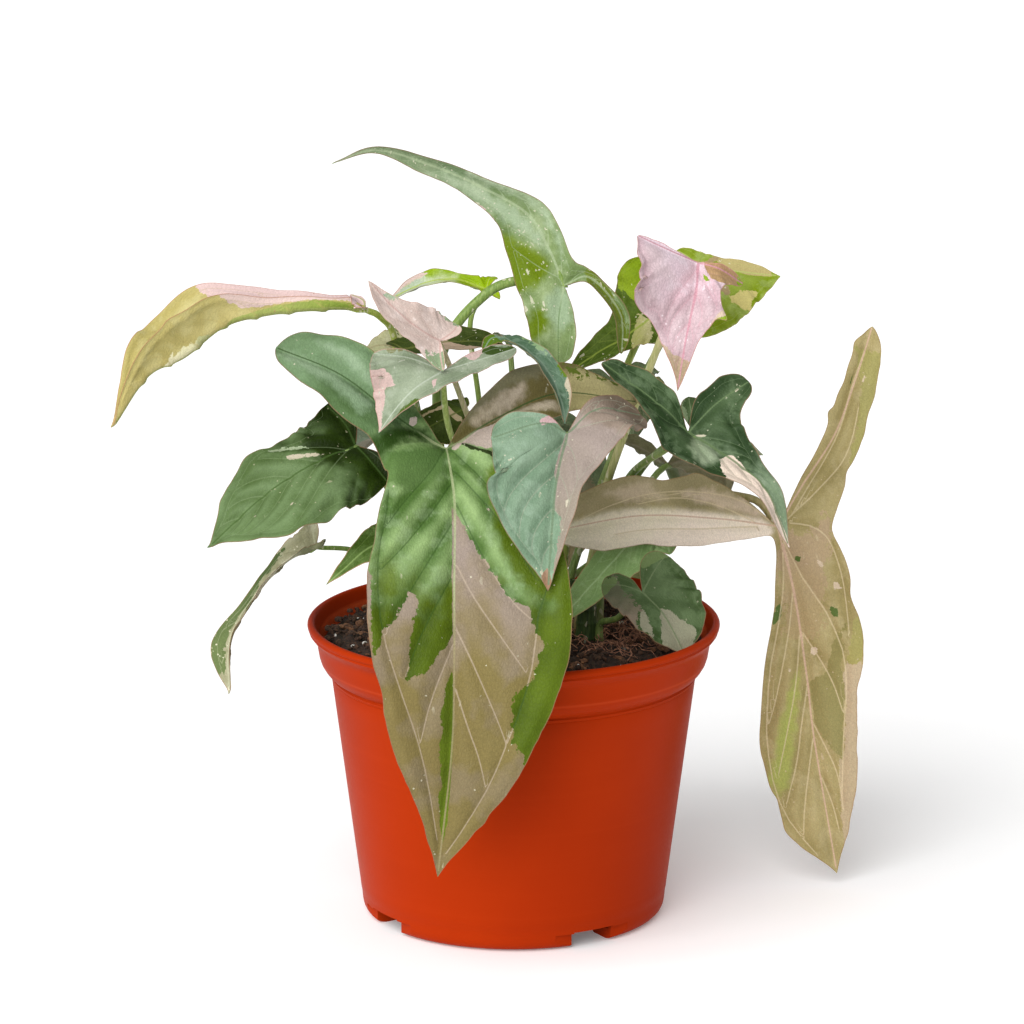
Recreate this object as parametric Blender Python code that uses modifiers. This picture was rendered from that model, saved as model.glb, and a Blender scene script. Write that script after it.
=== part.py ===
"""A potted syngonium: a tapered nursery pot, its soil, six short stems and their leaves.

Metres, +Z up. The origin is on the pot's axis, at the height of the surface that it stands on.
The tables of the plant are in millimetres.
"""

from math import cos, pi, radians, sin

import bmesh
import bpy
import numpy as np
from mathutils import Matrix, Vector

MM = 0.001
COLLECTION = "potted_syngonium"
GAP = 0.3  # left between pieces that rest on each other

# Pot, turned about the Z axis
POT_HEIGHT = 111.0
RIM_RADIUS = 76.0
BAND_RADIUS = 72.5
SHOULDER_RADIUS = 67.3
HEEL_RADIUS = 55.8
FOOT_RADIUS = 51.0
FOOT_INNER_RADIUS = 43.0
BASE_RISE = 2.0  # the floor stands this high above the foot ring
FLOOR = 2.0
WALL = 1.6
BAND_FOOT = 89.4  # height of the step under the band
POT_STEPS = 60

# Drain notches round the heel
NOTCH_ANGLES = (31.8, 121.8, 211.8, 301.8)  # degrees from the front, towards +X
NOTCH_WIDTH = 27.0
NOTCH_HEIGHT = 6.0
NOTCH_DEPTH = 2.0
DRAIN_WIDTH = 12.0
DRAIN_HEIGHT = 6.5
DRAIN_INNER_RADIUS = 41.0

# Soil
SOIL_EDGE = 102.5
SOIL_TOP = 104.0

# Stems
STEM_HEIGHT = 15.0
STEM_RADIUS = 4.4
STEM_TOP_RADIUS = 3.2
STALK_CLEARANCE = 0.6
CROWNS = {
    "a": (27, -1),
    "b": (-4, 16),
    "c": (-34, -4),
    "d": (2, -28),
    "e": (22, 26),
    "f": (-24, 16),
}

# Roots that lie on the soil
ROOT_RADIUS = 0.6
ROOTS = {
    "root_a": [(37, 6), (43, 10), (50, 7), (57, 9)],
    "root_b": [(35, -11), (40, -15), (43, -24), (41, -33)],
}

# Blades
BLADE = 0.8
LOBE_FOLD = radians(8)
SLANT = radians(25)  # the blade's cross lines lean towards the tip
MID_STEPS = 7
LOBE_STEPS = 4
ACROSS_STEPS = 2
STALK_STEPS = 8
LOBE_TIP = 2.6  # how blunt a lobe ends
BLADE_TIP = 0.8  # how blunt the blade ends
MID_FAN = (0.22, 0.45)  # how far from the join the cross lines fan out, and more where lobes are close
LOBE_FAN = (0.45, 0.5)
ROOT_STEPS = 8

# Each leaf: where the stalk joins the blade, the mid vein's points from there to the tip, the way the
# upper face looks at the join, and half-widths at equal steps along the mid vein, one list on the side
# of each basal lobe. A lobe has its own vein, and half-widths on its outer and inner side.
# The stalk rises from a crown through its own points.
LEAVES = {
    "leaf_front": dict(
        join=(-24, -52, 188),
        mid=[(-21, -68, 173), (-21, -83, 145), (-21, -92, 116), (-22, -96, 87), (-27, -96, 42)],
        face=(0, -0.7, 0.7), fold=8,
        half=([25, 33, 34, 29, 22, 10], [18, 42, 46, 39, 28, 14]),
        lobes=[
            dict(to=[(-42, -48, 199), (-62, -42, 213), (-85, -36, 221.5)], half=([16, 15.5, 11], [8, 14, 12])),
            dict(to=[(-5, -40, 197), (17, -28, 203), (45, -16, 197)], half=([14, 12, 9], [10, 14, 10])),
        ],
        crown="d", turn=235, via=[(-8, -38, 150), (-19, -47, 180)], stalk=2.1),
    "leaf_mid_front": dict(
        join=(19, -62, 196), mid=[(15, -76, 182), (13, -88, 162), (12, -92, 146)],
        face=(-0.1, -0.7, 0.7), fold=12,
        half=([28, 28, 25, 20, 13.5, 6], [20, 15, 11, 8.5, 6, 3]),
        lobes=[
            dict(to=[(12, -61, 203), (3, -60, 207)], half=([18, 13], [3, 5])),
            dict(to=[(30, -57, 204), (46, -46, 199)], half=([17, 12], [4, 6])),
        ],
        crown="d", turn=310, via=[(12, -38, 150), (18, -54, 186)], stalk=1.7),
    "leaf_right_dark": dict(
        join=(63, -30, 189), mid=[(80, -40, 180), (91, -46, 171), (99, -50, 151)],
        face=(0.1, -0.6, 0.8), fold=8,
        half=([18, 14.5, 11, 7.5, 5, 3], [19, 14, 9, 6, 5, 3]),
        lobes=[
            dict(to=[(53, -30, 199), (32, -22, 213)], half=([11, 6, 5], [7, 8, 6])),
            dict(to=[(73, -24, 198), (85, -18, 205)], half=([13, 9, 7], [6, 7, 7])),
        ],
        crown="a", turn=50, via=[(34, 18, 138), (43, 20, 160), (56, -10, 178)], stalk=1.6),
    "leaf_right_long": dict(
        join=(99, 40, 136), mid=[(105, 34, 112), (110, 29, 80), (113, 26, 56), (122, 24, 5)],
        face=(-0.1, -0.95, 0.3), fold=6,
        half=([20, 26, 24, 18, 15, 8], [4, 10, 17, 22, 21, 15]),
        lobes=[
            dict(to=[(108, 46, 150), (121, 57, 168), (130, 67, 190), (135, 70, 206)],
                 half=([19, 15, 10], [2, 4, 4])),
            dict(to=[(75, 28, 142), (48, 10, 148), (20, -6, 147)], half=([12, 15, 13], [15, 16, 14])),
        ],
        crown="e", turn=-15, via=[(60, 36, 145), (88, 44, 146)], stalk=1.8),
    "leaf_pink": dict(
        join=(67, 0, 245), mid=[(66, -10, 237), (62, -18, 220), (59, -22, 202)],
        face=(-0.1, -0.75, 0.65), fold=6,
        half=([33, 26, 17.5, 12.5, 8, 3], [9, 15, 13, 6.5, 4.5, 2.5]),
        lobes=[
            dict(to=[(56, -6, 251), (45, -10, 257)], half=([30, 15], [1, 1.5])),
            dict(to=[(75, -2, 243), (84, 4, 236)], half=([7, 4], [2, 2])),
        ],
        crown="a", turn=110, via=[(32, 15, 145), (36, 17, 163), (53, 13, 211), (62, 7, 236)], stalk=1.7),
    "leaf_lime_left": dict(
        join=(50, 24, 219), mid=[(40, 18, 213), (30, 14, 208), (19, 10, 201)],
        face=(-0.4, -0.75, 0.5), fold=8,
        half=([13, 9, 8, 7, 5, 3], [7, 8, 8, 7, 5, 2]),
        lobes=[
            dict(to=[(49, 25, 230), (48, 25, 242)], half=([13, 11], [6, 7])),
            dict(to=[(56, 22, 215), (58, 20, 209)], half=([7, 5], [3, 4])),
        ],
        crown="e", turn=230, via=[(22, 20, 150), (42, 30, 200)], stalk=1.6),
    "leaf_lime_right": dict(
        join=(68, 24, 236), mid=[(78, 24, 237), (88, 24, 236), (98, 24, 235)],
        face=(0.1, -0.7, 0.7), fold=8,
        half=([6, 6, 6, 5, 4, 2], [26, 25, 21, 16, 11, 6]),
        lobes=[
            dict(to=[(65, 26, 241), (60, 27, 244)], half=([5, 4], [2, 3])),
            dict(to=[(66, 20, 228), (63, 17, 214)], half=([20, 12], [4, 4])),
        ],
        crown="e", turn=165, via=[(18, 32, 140), (46, 38, 190), (62, 34, 222)], stalk=1.6),
    "leaf_top": dict(
        join=(18, -8, 238),
        mid=[(13, -4, 250), (5, -2, 263), (-12, -2, 273), (-28, -4, 280.5), (-49, -10, 287.8), (-65, -16, 284)],
        face=(-0.3, -0.8, 0.5), fold=10,
        half=([9, 9.5, 5.5, 4, 2.8, 1.5], [17, 15, 8.5, 5, 3.8, 1.3]),
        lobes=[
            dict(to=[(26, -8, 241.5), (33, -8, 236.5), (39.5, -8, 226), (39.5, -8, 212.5)],
                 half=([2.2, 2.5, 3], [2.5, 3, 3.5])),
            dict(to=[(16, -14, 226), (16, -18, 211)], half=([12, 11, 9], [6, 8, 7])),
        ],
        crown="f", turn=280, via=[(-27, -2, 170), (-26, -6, 212), (-10, -4, 234), (6, -2, 239)], stalk=2.2),
    "leaf_left_long": dict(
        join=(-53, -30, 235),
        mid=[(-67, -35, 236), (-87, -40, 234), (-103, -46, 234), (-117, -54, 225), (-130, -62, 220),
             (-141, -72, 202)],
        face=(0, 0.1, 0.98), fold=(45, 65),
        half=([3, 8, 13, 14, 12, 6], [3, 5, 6, 12, 13, 7]),
        lobes=[
            dict(to=[(-54, -24, 237), (-62, -18, 238)], half=([4, 3], [2, 2])),
            dict(to=[(-53, -35, 236), (-60, -40, 237)], half=([3, 3], [2, 2])),
        ],
        crown="c", turn=110, via=[(-39, -4, 150), (-41, -12, 190), (-43, -17, 220), (-48, -25, 230)],
        stalk=1.5),
    "leaf_small_pink": dict(
        join=(-26, -51, 227), mid=[(-33, -55, 232), (-42, -57, 240), (-51, -57, 250)],
        face=(-0.2, -0.75, 0.6), fold=8,
        half=([7, 7, 8, 8.5, 7.5, 4.5], [13, 11, 8, 5, 3, 2]),
        lobes=[
            dict(to=[(-26, -55, 223), (-25, -60, 218)], half=([7, 4], [1.2, 1.2])),
            dict(to=[(-21.5, -47, 229.5), (-20, -44, 231.5)], half=([9, 6], [2, 3])),
        ],
        crown="d", turn=160, via=[(-10, -28, 170), (-22, -38, 212)], stalk=1.3),
    "leaf_pink_tip": dict(
        join=(-25, -57, 217.5), mid=[(-34, -62, 213), (-41, -63, 206), (-48, -62, 196)],
        face=(-0.1, -0.6, 0.8), fold=5,
        half=([24, 21, 17, 14, 10, 4], [8, 7, 6, 5, 3, 1.5]),
        lobes=[
            dict(to=[(-37, -52, 221), (-50, -49, 222)], half=([20, 12], [2, 3])),
            dict(to=[(-12, -50, 220), (1, -40, 222)], half=([7, 6, 5], [3, 4, 4])),
        ],
        crown="d", turn=195, via=[(-14, -33, 165), (-23, -41, 192), (-25, -52, 211)], stalk=1.4),
    "leaf_far_lime": dict(
        join=(-10, 20, 231), mid=[(-22, 24, 234), (-34, 22, 232.5), (-47, 16, 227)],
        face=(0.1, -0.4, 0.9), fold=20,
        half=([2, 3, 5, 6, 4.5, 2], [3, 5, 5.5, 5.5, 4, 2]),
        lobes=[
            dict(to=[(-9, 24, 234), (-6, 28, 234)], half=([3, 2], [2, 2])),
            dict(to=[(-8, 16, 231), (-5, 13, 229)], half=([3, 2], [2, 2])),
        ],
        crown="b", turn=175, via=[(-12, 18, 180), (-16, 18, 217)], stalk=1.2),
    "leaf_left_green": dict(
        join=(-57, -30, 184), mid=[(-70, -36, 180), (-89, -42, 169), (-110, -46, 150)],
        face=(-0.2, -0.6, 0.75), fold=8,
        half=([19, 16, 19, 17, 12, 6], [31, 34, 32, 25, 17, 7]),
        lobes=[
            dict(to=[(-61, -22, 190), (-68, -17, 196)], half=([19, 15, 8], [3, 6, 6])),
            dict(to=[(-52, -35, 180), (-45, -38, 172)], half=([27, 18], [4, 5])),
        ],
        crown="c", turn=230, via=[(-42, -12, 150), (-50, -22, 176)], stalk=1.6),
    "leaf_low_left": dict(
        join=(-73, 0, 139), mid=[(-84, -2, 134), (-96, -5, 121), (-105, -8, 105), (-105, -10, 85)],
        face=(-0.3, 0.1, 0.9), fold=15, twist=-40,
        half=([7, 7, 4, 3, 8, 6], [3, 5, 7, 7, 3, 3]),
        lobes=[
            dict(to=[(-74, 3, 143), (-74, 5, 147.5)], half=([8, 6], [2.5, 2.5])),
            dict(to=[(-71, -3, 140), (-70, -5, 143)], half=([3, 2], [2, 2])),
        ],
        crown="f", turn=180, via=[(-40, 14, 125), (-58, 7, 135)], stalk=1.1),
    "leaf_small_dark": dict(
        join=(-47, -24, 147), mid=[(-54, -27, 144), (-61, -29, 138), (-68, -30, 132)],
        face=(-0.3, -0.8, 0.5), fold=8,
        half=([8.5, 6.5, 4.5, 3.5, 3, 2], [8, 6, 3.5, 2.5, 2, 1.5]),
        lobes=[
            dict(to=[(-46, -22, 150), (-44, -20, 153.5)], half=([8.5, 5], [3, 3])),
            dict(to=[(-43, -24, 144), (-39, -24, 143)], half=([6, 4], [3, 3])),
        ],
        crown="c", turn=280, via=[(-37, -16, 125), (-42, -19, 141)], stalk=1.2),
    "leaf_low_right": dict(
        join=(52, 26, 144), mid=[(43, 13, 137), (32, 0, 128), (22, -9, 119), (14, -13, 111)],
        face=(-0.1, -0.8, 0.6), fold=6,
        half=([7, 8, 8, 7, 6, 3], [17, 17, 13.5, 10, 7.5, 4.5]),
        lobes=[
            dict(to=[(54, 28, 149), (56, 28, 153)], half=([6, 4], [3, 3])),
            dict(to=[(56, 22, 139), (58, 18, 131)], half=([11, 6], [4, 4])),
        ],
        crown="e", turn=-50, via=[(33, 22, 120), (48, 30, 138)], stalk=1.4),
    "leaf_in_pot": dict(
        join=(47, -22, 127), mid=[(54, -28, 121), (59, -32, 113), (62, -34, 107)],
        face=(0.2, -0.6, 0.75), fold=5,
        half=([14, 16, 15, 13, 10, 6], [20, 18, 15, 12, 9, 5]),
        lobes=[
            dict(to=[(40, -20, 129), (32, -19, 129)], half=([13, 8], [4, 5])),
            dict(to=[(52, -14, 134), (56, -10, 138)], half=([16, 9], [5, 6])),
        ],
        crown="a", turn=320, via=[(38, -14, 115), (44, -16, 122)], stalk=1.3),
    "leaf_curled": dict(
        join=(-3, -30, 224), mid=[(5, -38, 221), (12.5, -46, 215), (17, -52, 206), (18.5, -55, 197.5)],
        face=(0.3, -0.3, 0.9), fold=25,
        half=([4, 6, 7, 7, 5, 3], [4, 5, 5.5, 5.5, 5.5, 3]),
        lobes=[
            dict(to=[(-8, -32, 224), (-11, -35, 220)], half=([3, 3], [2, 2])),
            dict(to=[(-4, -25, 224), (-8, -22, 223)], half=([3, 3], [2, 2])),
        ],
        crown="d", turn=70, via=[(2, -24, 160), (-1, -26, 215)], stalk=1.3),
    "leaf_pale": dict(
        join=(-42, -6, 214), mid=[(-47, -8, 216), (-52, -9, 215), (-55, -10, 210.5)],
        face=(0, -0.6, 0.8), fold=5,
        half=([8, 8, 7, 5, 4, 2], [8, 8, 7, 5, 4, 2]),
        lobes=[
            dict(to=[(-40, -4, 218), (-38, -2, 221)], half=([7, 4], [3, 3])),
            dict(to=[(-40, -8, 212), (-37, -9, 209)], half=([7, 4], [3, 3])),
        ],
        crown="f", turn=225, via=[(-34, 6, 170), (-42, -4, 206)], stalk=1.1),
    "leaf_two_tone": dict(
        join=(-40, -27, 219), mid=[(-28, -26, 221), (-12, -24, 221), (0, -22, 217)],
        face=(0, -0.45, 0.9), fold=10,
        half=([5, 7, 8, 8, 6, 3], [5, 7, 8, 7, 6, 3]),
        lobes=[
            dict(to=[(-43, -23, 220), (-46, -21, 220)], half=([4, 3], [2, 2])),
            dict(to=[(-43, -31, 217), (-46, -33, 216)], half=([4, 3], [2, 2])),
        ],
        crown="c", turn=340, via=[(-32, -10, 175), (-38, -24, 211)], stalk=1.2),
    "leaf_behind_front": dict(
        join=(-18, -24, 196), mid=[(-28, -30, 192), (-34, -33, 189), (-39, -35, 185)],
        face=(-0.1, -0.7, 0.7), fold=8,
        half=([9, 9.5, 9, 7, 5.5, 3], [13.5, 13.5, 12.5, 10, 6.5, 3]),
        lobes=[
            dict(to=[(-17, -20, 197), (-17, -18, 199)], half=([3, 2], [1, 1])),
            dict(to=[(-14, -26, 191), (-11, -27, 187)], half=([9, 6], [3, 4])),
        ],
        crown="b", turn=245, via=[(-10, -2, 160), (-15, -14, 188)], stalk=1.3),
    "leaf_behind_right": dict(
        join=(66, -2, 182), mid=[(74, -4, 179), (82, -6, 177), (91, -7, 175)],
        face=(0.1, -0.5, 0.85), fold=8,
        half=([11, 11, 9, 7, 5, 3], [12, 11, 9, 7, 5, 2]),
        lobes=[
            dict(to=[(65, 2, 188), (64, 4, 194)], half=([9, 6], [3, 4])),
            dict(to=[(61, -4, 179), (57, -6, 178)], half=([8, 5], [3, 4])),
        ],
        crown="e", turn=20, via=[(40, 29, 146), (50, 24, 165), (61, 8, 178)], stalk=1.3),
    "leaf_back_droop": dict(
        join=(8, 54, 170), mid=[(8, 72, 160), (8, 88, 138), (7, 96, 110), (6, 99.5, 80)],
        face=(0, 0.7, 0.7), fold=8,
        half=([22, 30, 32, 28, 19, 8], [20, 30, 32, 28, 19, 8]),
        lobes=[
            dict(to=[(19, 50, 174), (28, 46, 171)], half=([16, 9], [5, 6])),
            dict(to=[(-6, 49, 173), (-15, 45, 168)], half=([16, 11], [6, 8])),
        ],
        crown="b", turn=70, via=[(2, 34, 140), (6, 46, 160)], stalk=1.9),
    "leaf_back_left": dict(
        join=(-40, 42, 172), mid=[(-54, 54, 168), (-68, 64, 156), (-78, 70, 138)],
        face=(-0.3, 0.5, 0.8), fold=8,
        half=([16, 19, 18, 15, 10, 5], [16, 19, 18, 15, 10, 5]),
        lobes=[
            dict(to=[(-42, 32, 178), (-46, 24, 180)], half=([14, 8], [4, 6])),
            dict(to=[(-30, 46, 178), (-22, 48, 180)], half=([14, 8], [4, 6])),
        ],
        crown="f", turn=110, via=[(-30, 28, 145), (-37, 39, 167)], stalk=1.6),
    "leaf_back_right": dict(
        join=(58, 52, 158), mid=[(66, 64, 152), (72, 74, 140), (75, 80, 124)],
        face=(0.3, 0.6, 0.75), fold=8,
        half=([14, 17, 17, 14, 9, 4], [14, 17, 17, 14, 9, 4]),
        lobes=[
            dict(to=[(66, 44, 162), (72, 38, 162)], half=([12, 7], [4, 5])),
            dict(to=[(48, 54, 164), (40, 56, 166)], half=([12, 7], [4, 5])),
        ],
        crown="e", turn=65, via=[(36, 40, 128), (52, 48, 152)], stalk=1.5),
    "leaf_back_top": dict(
        join=(38, 50, 190), mid=[(42, 64, 186), (45, 76, 174), (46, 83, 158)],
        face=(0.2, 0.5, 0.85), fold=8,
        half=([13, 17, 17, 14, 9, 4], [13, 17, 17, 14, 9, 4]),
        lobes=[
            dict(to=[(47, 45, 195), (54, 40, 196)], half=([10, 6], [4, 5])),
            dict(to=[(29, 48, 193), (22, 46, 190)], half=([10, 6], [4, 5])),
        ],
        crown="e", turn=120, via=[(30, 38, 145), (41, 50, 174)], stalk=1.6),
    "leaf_back_low": dict(
        join=(-26, 56, 124), mid=[(-32, 72, 118), (-36, 85, 100), (-38, 91, 74)],
        face=(-0.2, 0.6, 0.75), fold=8,
        half=([13, 16, 16, 13, 9, 4], [13, 16, 16, 13, 9, 4]),
        lobes=[
            dict(to=[(-34, 51, 129), (-40, 46, 130)], half=([11, 7], [4, 5])),
            dict(to=[(-18, 54, 129), (-11, 51, 130)], half=([11, 7], [4, 5])),
        ],
        crown="f", turn=60, via=[(-22, 36, 117)], stalk=1.4),
    "leaf_back_low_right": dict(
        join=(38, 54, 126), mid=[(43, 69, 119), (46, 82, 101), (47, 89, 77)],
        face=(0.2, 0.6, 0.75), fold=8,
        half=([12, 15, 15, 12, 8, 4], [12, 15, 15, 12, 8, 4]),
        lobes=[
            dict(to=[(46, 50, 130), (52, 46, 130)], half=([10, 6], [4, 5])),
            dict(to=[(30, 52, 131), (24, 49, 132)], half=([10, 6], [4, 5])),
        ],
        crown="b", turn=20, via=[(12, 30, 112), (27, 45, 119)], stalk=1.4),
}

COLOURS = {
    "pot": ((0.60, 0.08, 0.03), 0.5),
    "soil": ((0.03, 0.02, 0.015), 0.95),
    "stem": ((0.05, 0.12, 0.04), 0.5),
    "root": ((0.35, 0.16, 0.09), 0.7),
    "leaf": ((0.10, 0.22, 0.09), 0.45),
}


def material(name):
    """A plain Principled material for one kind of piece."""
    colour, rough = COLOURS[name]
    made = bpy.data.materials.new(name)
    made.use_nodes = True
    shader = made.node_tree.nodes["Principled BSDF"]
    shader.inputs["Base Color"].default_value = (*colour, 1)
    shader.inputs["Roughness"].default_value = rough
    shader.inputs["Metallic"].default_value = 0
    return made


def add(name, data, kind, group):
    """A new object with a material of its own, in a collection."""
    made = bpy.data.objects.new(name, data)
    data.materials.append(material(kind))
    group.objects.link(made)
    return made


def mesh_from(name, points, faces):
    """A mesh from points in millimetres."""
    made = bpy.data.meshes.new(name)
    made.from_pydata([Vector(p) * MM for p in points], [], faces)
    return made


def turned(name, profile, kind, group):
    """A closed profile of radius and height pairs, turned about the Z axis."""
    edges = [(i, (i + 1) % len(profile)) for i in range(len(profile))]
    data = bpy.data.meshes.new(name)
    data.from_pydata([(r * MM, 0, z * MM) for r, z in profile], edges, [])
    made = add(name, data, kind, group)
    screw = made.modifiers.new("turn", "SCREW")
    screw.steps = screw.render_steps = POT_STEPS
    screw.use_merge_vertices = True
    screw.merge_threshold = 0.00001
    return made


def cutter(name, size, place, angle, group):
    """A box for a Boolean, turned about the Z axis by an angle from the front towards +X."""
    bpy.ops.mesh.primitive_cube_add(size=1)
    made = bpy.context.object
    made.name = name
    made.data.transform(Matrix.Diagonal((*(side * MM for side in size), 1)))
    radius, height = place
    made.location = (radius * sin(angle) * MM, -radius * cos(angle) * MM, height * MM)
    made.rotation_euler.z = angle
    made.hide_render = True
    made.display_type = "WIRE"
    for owner in list(made.users_collection):
        owner.objects.unlink(made)
    group.objects.link(made)
    return made


def cut(target, tools):
    """Booleans that take each tool away from the target."""
    for tool in tools:
        step = target.modifiers.new(tool.name, "BOOLEAN")
        step.operation = "DIFFERENCE"
        step.solver = "EXACT"
        step.object = tool


def pot(group, cutters):
    """The pot: a rolled rim over a band, a tapered wall, and a raised floor inside a foot ring."""
    bead = RIM_RADIUS - 1.4
    outer = [
        (RIM_RADIUS - 2.4, POT_HEIGHT - 0.4), (bead, POT_HEIGHT), (RIM_RADIUS - 0.4, POT_HEIGHT - 0.7),
        (RIM_RADIUS, POT_HEIGHT - 2), (RIM_RADIUS - 0.8, POT_HEIGHT - 4.2),
        (BAND_RADIUS + 0.6, POT_HEIGHT - 6.5), (BAND_RADIUS, POT_HEIGHT - 7.5),
        (BAND_RADIUS - 0.9, BAND_FOOT + 6.1), (BAND_RADIUS - 2.2, BAND_FOOT + 3.1),
        (SHOULDER_RADIUS + 0.9, BAND_FOOT + 0.8), (SHOULDER_RADIUS, BAND_FOOT), (HEEL_RADIUS + 0.4, 4.6),
        (HEEL_RADIUS - 0.3, 2.6), (HEEL_RADIUS - 2.1, 1), (FOOT_RADIUS, 0),
    ]
    under = [(FOOT_INNER_RADIUS, 0), (FOOT_INNER_RADIUS - 1, BASE_RISE), (0, BASE_RISE)]
    inner = [
        (0, BASE_RISE + FLOOR), (HEEL_RADIUS - WALL - 2, BASE_RISE + FLOOR), (HEEL_RADIUS - WALL, 7),
        (SHOULDER_RADIUS - WALL, BAND_FOOT), (BAND_RADIUS - WALL - 0.9, BAND_FOOT + 6.6),
        (BAND_RADIUS - WALL, POT_HEIGHT - 5),
        (RIM_RADIUS - 2.8, POT_HEIGHT - 1.2),
    ]
    body = turned("pot", outer + under + inner, "pot", group)
    tools = []
    for number, degrees in enumerate(NOTCH_ANGLES, 1):
        angle = radians(degrees)
        notch = (NOTCH_WIDTH, 20, 2 * NOTCH_HEIGHT)
        tools.append(cutter(f"notch_{number}", notch, (HEEL_RADIUS - NOTCH_DEPTH + 10, 0), angle, cutters))
        drain = (DRAIN_WIDTH, 30, 2 * DRAIN_HEIGHT)
        tools.append(cutter(f"drain_{number}", drain, (DRAIN_INNER_RADIUS + 15, 0), angle, cutters))
    cut(body, tools)


def soil_height(radius):
    """The soil's surface, a little higher in the middle."""
    return SOIL_EDGE + (SOIL_TOP - SOIL_EDGE) * (1 - (radius / BAND_RADIUS) ** 2)


def soil(group):
    """The soil, as it fills the pot."""
    floor = BASE_RISE + FLOOR + GAP
    side = [
        (BAND_RADIUS - WALL - 0.9 - GAP, SOIL_EDGE), (BAND_RADIUS - WALL - 0.9 - GAP, BAND_FOOT + 7.1),
        (SHOULDER_RADIUS - WALL - GAP, BAND_FOOT), (HEEL_RADIUS - WALL - GAP, 7.5),
        (HEEL_RADIUS - WALL - 2 - GAP, floor),
    ]
    top = [(radius, soil_height(radius)) for radius in (0, 24, 48)]
    turned("soil", top + side + [(0, floor)], "soil", group)


def stem(name, place, group):
    """A short stem, from the soil to where its leaves part."""
    x, y = place
    low = soil_height((x * x + y * y) ** 0.5) + GAP
    data = bpy.data.meshes.new(name)
    form = bmesh.new()
    bmesh.ops.create_cone(form, cap_ends=True, segments=14, radius1=STEM_RADIUS * MM,
                          radius2=STEM_TOP_RADIUS * MM, depth=STEM_HEIGHT * MM)
    form.to_mesh(data)
    form.free()
    made = add(name, data, "stem", group)
    made.location = (x * MM, y * MM, (low + STEM_HEIGHT / 2) * MM)


def root(name, places, group):
    """A thin root that lies on the soil."""
    line = curve([(x, y, 0) for x, y in places], ROOT_STEPS)
    shape = tube_curve(name, line, ROOT_RADIUS)
    for knot in shape.splines[0].points:
        knot.co.z = (soil_height((knot.co.xy / MM).length) + GAP + ROOT_RADIUS) * MM
    add(name, shape, "root", group)


def unit(vector):
    """The vector at length 1."""
    return vector / max(np.linalg.norm(vector), 1e-9)


def curve(points, steps):
    """Points at equal steps along a smooth curve through the given ones."""
    given = np.asarray(points, float)
    ends = np.vstack([2 * given[0] - given[1], given, 2 * given[-1] - given[-2]])
    part = np.linspace(0, 1, 24, endpoint=False)[:, None]
    dense = []
    for a, b, c, d in zip(ends, ends[1:], ends[2:], ends[3:]):
        bend = (2 * a - 5 * b + 4 * c - d) * part ** 2 + (3 * b - a - 3 * c + d) * part ** 3
        dense.append(b + ((c - a) * part + bend) / 2)
    dense = np.vstack(dense + [given[-1:]])
    run = np.concatenate([[0], np.cumsum(np.linalg.norm(np.diff(dense, axis=0), axis=1))])
    at = np.linspace(0, run[-1], steps + 1)
    return np.stack([np.interp(at, run, dense[:, axis]) for axis in range(3)], 1)


def vein_frames(line, face, twist=0):
    """Along a vein: its direction, the way the upper face looks, and the way across to the right."""
    along = np.gradient(line, axis=0)
    along /= np.linalg.norm(along, axis=1)[:, None]
    up = [unit(face - np.dot(face, along[0]) * along[0])]
    for way in along[1:]:
        up.append(unit(up[-1] - np.dot(up[-1], way) * way))
    up = np.array(up)
    turn = (radians(twist) * np.linspace(0, 1, len(line)))[:, None]
    up = up * np.cos(turn) + np.cross(along, up) * np.sin(turn)
    return along, up, np.cross(along, up)


def widths(values, share, tip):
    """Half-widths at shares of a vein, from values at equal steps; the tip has none."""
    heights = np.append(np.asarray(values, float), 0.0)
    step = 1 / len(values)
    slope = np.gradient(heights, step)
    slope[-1] = -heights[-2] / step * tip
    low = np.clip((share / step).astype(int), 0, len(values) - 1)
    x = share / step - low
    rise = (2 * x**3 - 3 * x**2 + 1) * heights[low] + (3 * x**2 - 2 * x**3) * heights[low + 1]
    bend = (x**3 - 2 * x**2 + x) * slope[low] + (x**3 - x**2) * slope[low + 1]
    return np.maximum(rise + bend * step, 0) * (share < 1)


def ease(x):
    """0 to 1, smoothly."""
    x = np.clip(x, 0, 1)
    return x * x * (3 - 2 * x)


def lean(across, along, slant=SLANT):
    """The blade's cross lines, leaning from straight across towards the tip."""
    return cos(slant) * across + sin(slant) * along


def toward(ways, first, share, reach):
    """The ways, turned towards the first one near the join."""
    part = ease(share / reach)[:, None]
    mixed = ways * part + first * (1 - part)
    return mixed / np.linalg.norm(mixed, axis=1)[:, None]


def pair(value, side):
    """One value for both sides, or one of two."""
    return value[side] if isinstance(value, tuple) else value


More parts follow.
